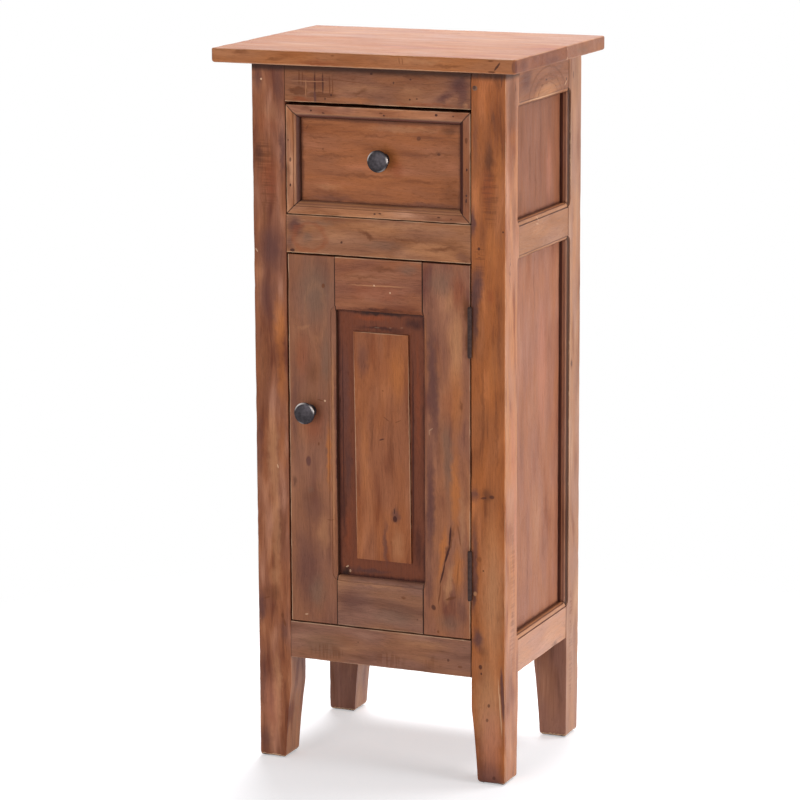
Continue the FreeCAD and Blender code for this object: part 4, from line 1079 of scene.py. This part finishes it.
# Boxes whose arrises are painted pale, partly as wear and partly as highlight; a post shares only its outer
# corner with its box
TOP_BOX = ((-TOP_END_FACE, TOP_FRONT_FACE, TOP_UNDERSIDE), (TOP_END_FACE, -TOP_FRONT_FACE, TOP_FACE))
TOP_OUTER = [[value / MILLIMETRES for value in corner] for corner in TOP_BOX]
MOULDING_BOX = ((-MOULDING_HALF, FRAME_FACE, MOULDING_BOTTOM), (MOULDING_HALF, -60.0, MOULDING_TOP))
DOOR_LEFT_BOX = ((-120.0, FRAME_FACE, DOOR_BOTTOM), (0.0, 0.0, DOOR_TOP))
DOOR_RIGHT_BOX = ((0.0, FRAME_FACE, DOOR_BOTTOM), (120.5, 0.0, DOOR_TOP))
POST_INSIDE = 60.0
POST_DEPTH = {"front": (POST_FACE, 0.0), "back": (0.0, 152.75)}
# Where a post's side is stained by depth: from front to back, and from foot to top
POST_WINDOWS = {
    "front": (("y", -67.5, 0.0), ("z", 135.0, TOP_UNDERSIDE)),
    "back": (("y", 0.0, 115.5), ("z", 135.0, TOP_UNDERSIDE)),
}
# Dark, middle and light tones that serve several boards
SIDE_TONES = ((150, 98, 76), (196, 142, 113), (212, 158, 128))
RAIL_TONES = ((110, 68, 52), (134, 90, 66), (150, 104, 78))
BACK_TONES = ((96, 62, 48), (124, 84, 64), (146, 104, 80))
INNER_TONES = ((128, 84, 60), (156, 108, 78), (178, 130, 98))

WOOD_NODES = {}


def add_boards(shared, boards):
    """Boards of one kind: what they share, and what each has of its own."""
    for name, own in boards.items():
        WOOD_NODES[name] = {**shared, **own}


TOP_BOARDS = dict(
    grain="x", front=((147, 91, 58), (159, 104, 70), (171, 116, 80)), edges=("yz", "xz", "xy"), box=TOP_BOX,
    contrast=0.8, gloss=0.1,
)
add_boards(TOP_BOARDS, {
    "top_front_board": dict(
        spots=TOP_BOARD_FACE[3:] + TOP_FRONT_EDGE + TOP_RIGHT_END[:3],
        top=((202, 150, 126), (218, 170, 147), (228, 184, 164)),
        side=((142, 100, 86), (152, 109, 93), (162, 118, 101)),
    ),
    "top_rear_board": dict(
        spots=TOP_BOARD_FACE[:3] + TOP_RIGHT_END[2:],
        top=((208, 161, 142), (222, 180, 161), (230, 192, 175)),
        side=((156, 112, 93), (165, 121, 101), (174, 130, 109)),
    ),
})

# Name, spots, contrast, and tones of the front and of the side
POSTS = (
    (
        "front_left", LEFT_POST_FRONT + mirrored(RIGHT_POST_SIDE), 1.05,
        ((102, 60, 47), (134, 86, 64), (164, 114, 88)), SIDE_TONES,
    ),
    (
        "front_right", RIGHT_POST_FRONT + RIGHT_POST_SIDE, 0.85,
        ((112, 66, 45), (148, 90, 56), (172, 108, 70)), SIDE_TONES,
    ),
    (
        "back_left", mirrored(BACK_POST_SIDE), 0.65,
        ((88, 58, 48), (120, 84, 70), (150, 108, 88)), ((119, 81, 63), (178, 135, 112), (201, 160, 135)),
    ),
    (
        "back_right", BACK_POST_SIDE, 0.65,
        ((114, 79, 65), (147, 105, 87), (172, 128, 106)), ((140, 98, 78), (182, 139, 116), (201, 162, 138)),
    ),
)
for name, spots, contrast, front_tones, side_tones in POSTS:
    end, _, side = name.partition("_")
    sign = 1 if side == "right" else -1
    front, back = POST_DEPTH[end]
    left, right = sorted((sign * SIDE_POST_FACE, sign * POST_INSIDE))
    WOOD_NODES["post_" + name] = dict(
        grain="z", front=front_tones, side=side_tones, spots=spots, contrast=contrast, foot=True,
        edges=("xy",), box=((left, front, 0.0), (right, back, TOP_UNDERSIDE)),
        bands=("x", sign, POST_WINDOWS[end], SIDE_EDGE), seams=(UNDER_TOP_SHADOW_AND_DIRT,) if end == "front" else (),
    )

add_boards(dict(grain="x", edges=("yz",), seams=POST_SEAMS), {
    "front_top_rail": dict(front=RAIL_TONES, spots=TOP_RAIL_FRONT, seams=(*POST_SEAMS, UNDER_TOP_SHADOW_AND_DIRT)),
    "front_middle_rail": dict(front=((123, 80, 59), (144, 98, 71), (158, 111, 82)), spots=MIDDLE_RAIL_FRONT),
    "front_bottom_rail": dict(front=((114, 78, 62), (134, 94, 75), (152, 110, 88)), spots=BOTTOM_RAIL_FRONT),
})
WOOD_NODES["drawer_front"] = dict(
    grain="x", front=((124, 76, 53), (150, 95, 65), (166, 107, 77)), spots=DRAWER_PANEL, contrast=0.8,
    grime=((-104.0, 0, 711.0), (104.0, 0, 812.3), 4.0, 0.6),
)
add_boards(dict(grain="z", edges=("xy",), seams=DOOR_SEAMS), {
    "door_latch_stile": dict(
        front=((112, 74, 61), (132, 90, 70), (150, 104, 80)), spots=LATCH_STILE, contrast=0.6,
        box=DOOR_LEFT_BOX,
    ),
    "door_hinge_stile": dict(
        front=((109, 69, 58), (138, 92, 70), (163, 112, 82)), spots=HINGE_STILE, contrast=0.85,
        box=DOOR_RIGHT_BOX,
    ),
})
add_boards(dict(grain="x", edges=("yz",), seams=DOOR_SEAMS), {
    "door_top_rail": dict(front=((114, 70, 54), (136, 88, 66), (150, 102, 78)), spots=DOOR_TOP_RAIL),
    "door_bottom_rail": dict(front=((112, 78, 64), (132, 94, 76), (148, 108, 86)), spots=DOOR_BOTTOM_RAIL),
})
WOOD_NODES["door_panel"] = dict(
    grain="z", front=((122, 72, 51), (142, 89, 62), (157, 102, 72)), spots=PANEL_FIELD + PANEL_MARGIN,
    bands=("y", 1, (), MARGIN_STAIN), grime=((DOOR_LEFT, 0, 245.5), (DOOR_RIGHT, 0, 580.0), 5.5, 0.9),
    contrast=0.9,
)

# Side rails: spots and side tones
SIDE_RAILS = {
    "top_rail": (SIDE_TOP_RAIL, ((139, 96, 76), (162, 117, 96), (188, 140, 112))),
    "middle_rail": (SIDE_MIDDLE_RAIL, ((150, 109, 88), (176, 132, 108), (193, 149, 125))),
    "bottom_rail": ([], ((176, 131, 106), (203, 155, 130), (218, 172, 148))),
}
# Side panels: spots, side tones, lower and upper end of the opening, contrast
SIDE_PANELS = {
    "upper_panel": (SIDE_UPPER_PANEL, ((132, 91, 75), (157, 112, 93), (173, 127, 107)), 695.0, 833.0, 0.5),
    "lower_panel": (SIDE_LOWER_PANEL, ((152, 104, 86), (174, 125, 104), (189, 141, 120)), 181.0, 648.0, 0.6),
}
for side, sign in (("right_", 1), ("left_", -1)):
    for name, (spots, tones) in SIDE_RAILS.items():
        WOOD_NODES[side + name] = dict(
            grain="y", front=RAIL_TONES, side=tones, spots=spots if sign > 0 else mirrored(spots),
            edges=("xz",), contrast=0.6, bands=("x", sign, (), RAIL_EDGE), seams=SIDE_SEAMS,
        )
    for name, (spots, tones, bottom, top, contrast) in SIDE_PANELS.items():
        WOOD_NODES[side + name] = dict(
            grain="z", front=RAIL_TONES, side=tones, spots=spots if sign > 0 else mirrored(spots),
            contrast=contrast, grime=((0, SIDE_FRONT, bottom), (0, SIDE_BACK, top), 4.0, 0.7),
        )

# Each axis's part of a line at half a right angle
DIAGONAL = 0.7071
MITRE_HALF = 0.8


def mitre(x, z, slope):
    """The seam through a corner of the drawer's moulding."""
    return (DIAGONAL, 0, slope * DIAGONAL), (x + slope * z) * DIAGONAL, MITRE_HALF


MITRES = {
    "top left": mitre(-MOULDING_HALF, MOULDING_TOP, 1),
    "top right": mitre(MOULDING_HALF, MOULDING_TOP, -1),
    "bottom left": mitre(-MOULDING_HALF, MOULDING_BOTTOM, -1),
    "bottom right": mitre(MOULDING_HALF, MOULDING_BOTTOM, 1),
}
MOULDING_TONES = {
    "top": ((138, 88, 64), (160, 109, 81), (178, 126, 96)),
    "bottom": ((126, 82, 60), (154, 106, 78), (182, 132, 100)),
    "left": ((124, 78, 52), (160, 108, 78), (188, 136, 100)),
    "right": ((112, 70, 50), (134, 86, 62), (160, 108, 80)),
}
for side, tones in MOULDING_TONES.items():
    WOOD_NODES["drawer_moulding_" + side] = dict(
        grain="x" if side in ("top", "bottom") else "z", front=tones, spots=MOULDING_HOLES,
        seams=[seam for corner, seam in MITRES.items() if side in corner],
        bands=("y", 1, (), DRAWER_EDGE[side]), edges=("yz", "xy"), box=MOULDING_BOX, contrast=1.1,
    )
add_boards(dict(grain="x", front=BACK_TONES, edges=("yz",), contrast=0.6), {
    "back_top_rail": {}, "back_bottom_rail": {},
})
add_boards(dict(grain="z", front=BACK_TONES, contrast=0.5), {
    "back_board_1": {}, "back_board_2": {}, "back_board_3": {},
})
INNER_GRAINS = {
    "drawer_runner_left": "y", "drawer_runner_right": "y", "kicker_left": "y", "kicker_right": "y",
    "dust_panel": "x", "cupboard_floor": "x", "floor_cleats": "y", "drawer_stops": "x",
    "drawer_side_left": "y", "drawer_side_right": "y", "drawer_back": "x", "drawer_bottom": "x",
}
for name, grain in INNER_GRAINS.items():
    WOOD_NODES[name] = dict(grain=grain, front=INNER_TONES, contrast=0.5)

# Seeds of the wood and of its wear, from a board's place in the list
WOOD_SEED = (11.3, 2.0)
WEAR_SEED = 7.3


def box_mm(node_name):
    return [[value * MILLIMETRES for value in corner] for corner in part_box(node_name)]


def dress(node_name, material):
    node = nodes[node_name]
    node.data.materials.clear()
    node.data.materials.append(material)


for number, (name, board) in enumerate(WOOD_NODES.items()):
    if "edges" in board and "box" not in board:
        board["box"] = box_mm(name)
    material = wood(name, seed=number * WOOD_SEED[0] + WOOD_SEED[1], **board)
    if name in INNER_GRAINS:
        dress(name, material)
    else:
        piece = worn(
            name, board["grain"], number * WEAR_SEED, foot=name.startswith("post_"),
            loss=SMALL_ARRIS_LOSS if "moulding" in name else ARRIS_LOSS,
            outer=TOP_OUTER if name.startswith("top_") else None,
        )
        piece.data.materials.append(material)

# Metal: scales of its tarnish and grime, and how much darker and lighter they make it
TARNISH = (0.25, 4.0, 0.6)
GRIME = (1.3, 3.0, 0.6)
GRIME_TONE = 0.3
TARNISH_STEP = (0.32, 0.68)
DARKER = 0.75
LIGHTER = 1.25
DULL_STEP = (0.3, 0.7)
DULLER = 0.16
METAL_BUMP = (0.25, 0.0002)
# The knobs' rims, where painted highlight arcs lie, in mm from their middle
RIM_INSIDE = 11.2
RIM_BRIGHT = 12.6
RIM_HIGHLIGHT_COLOUR = (226, 218, 214)


def painted_rim_highlight(colour, place, centre, arcs):
    """Painted highlight arcs on the rim of a round knob, from (middle angle, half angle, strength)."""
    away = separate(vector_maths("SUBTRACT", place, (centre[0], 0, centre[1])))
    radius = length(Value(add_node("CombineXYZ", {0: away["x"], 1: away["z"]}).outputs[0]))
    on_rim = smooth(radius, RIM_INSIDE, RIM_BRIGHT)
    angle = maths("ARCTAN2", away["z"], away["x"])
    for middle, half, strength in arcs:
        mask = smooth(abs(angle - math.radians(middle)), math.radians(half), 0.0)
        colour = mix(on_rim * mask * strength, colour, linear(RIM_HIGHLIGHT_COLOUR))
    return colour


def metal(name, colour, roughness, metallic=1.0, gloss=0.5, rim=None):
    """Metal that is dull and mottled with age; rim: a knob's centre and its painted highlight arcs."""
    material, shader, place, _ = new_material(name)
    tarnish, grime = (
        noise(vector_maths("MULTIPLY", place, (scale,) * 3), *rest) for scale, *rest in (TARNISH, GRIME)
    )
    dark, light = (
        (*(min(channel * share, 1.0) for channel in linear(colour)[:3]), 1.0) for share in (DARKER, LIGHTER)
    )
    shown = mix(smooth(tarnish + spread(grime, GRIME_TONE), *TARNISH_STEP), dark, light)
    if rim:
        shown = painted_rim_highlight(shown, place, *rim)
    feed(shader.inputs["Base Color"], shown)
    feed(shader.inputs["Roughness"], smooth(grime, *DULL_STEP, roughness, roughness + DULLER))
    shader.inputs["Metallic"].default_value = metallic
    shader.inputs["Specular IOR Level"].default_value = gloss
    bumpy(shader, grime, *METAL_BUMP)
    return material


PEWTER = (58, 54, 57)
# Each knob's centre, and its painted highlight arcs
KNOBS = {
    "drawer_knob": ((4.0, 766.6), ((150, 48, 0.7), (10, 26, 0.5), (-60, 40, 0.3))),
    "door_knob": ((-91.65, 452.0), ((125, 55, 0.8), (30, 36, 0.5), (-110, 25, 0.25))),
}
for name, rim in KNOBS.items():
    dress(name, metal("pewter " + name, PEWTER, 0.34, rim=rim))
iron = metal("iron", (66, 50, 46), 0.6, metallic=0.0, gloss=0.1)
steel = metal("steel", (140, 138, 134), 0.35)
for name in nodes:
    if "hinge" in name and name != "door_hinge_stile":
        dress(name, iron)
for name in ("drawer_knob_screw", "door_knob_screw", "top_screws", "catch_plate"):
    dress(name, steel)
dress("catch_body", metal("catch plastic", (60, 46, 38), 0.5, metallic=0.0))
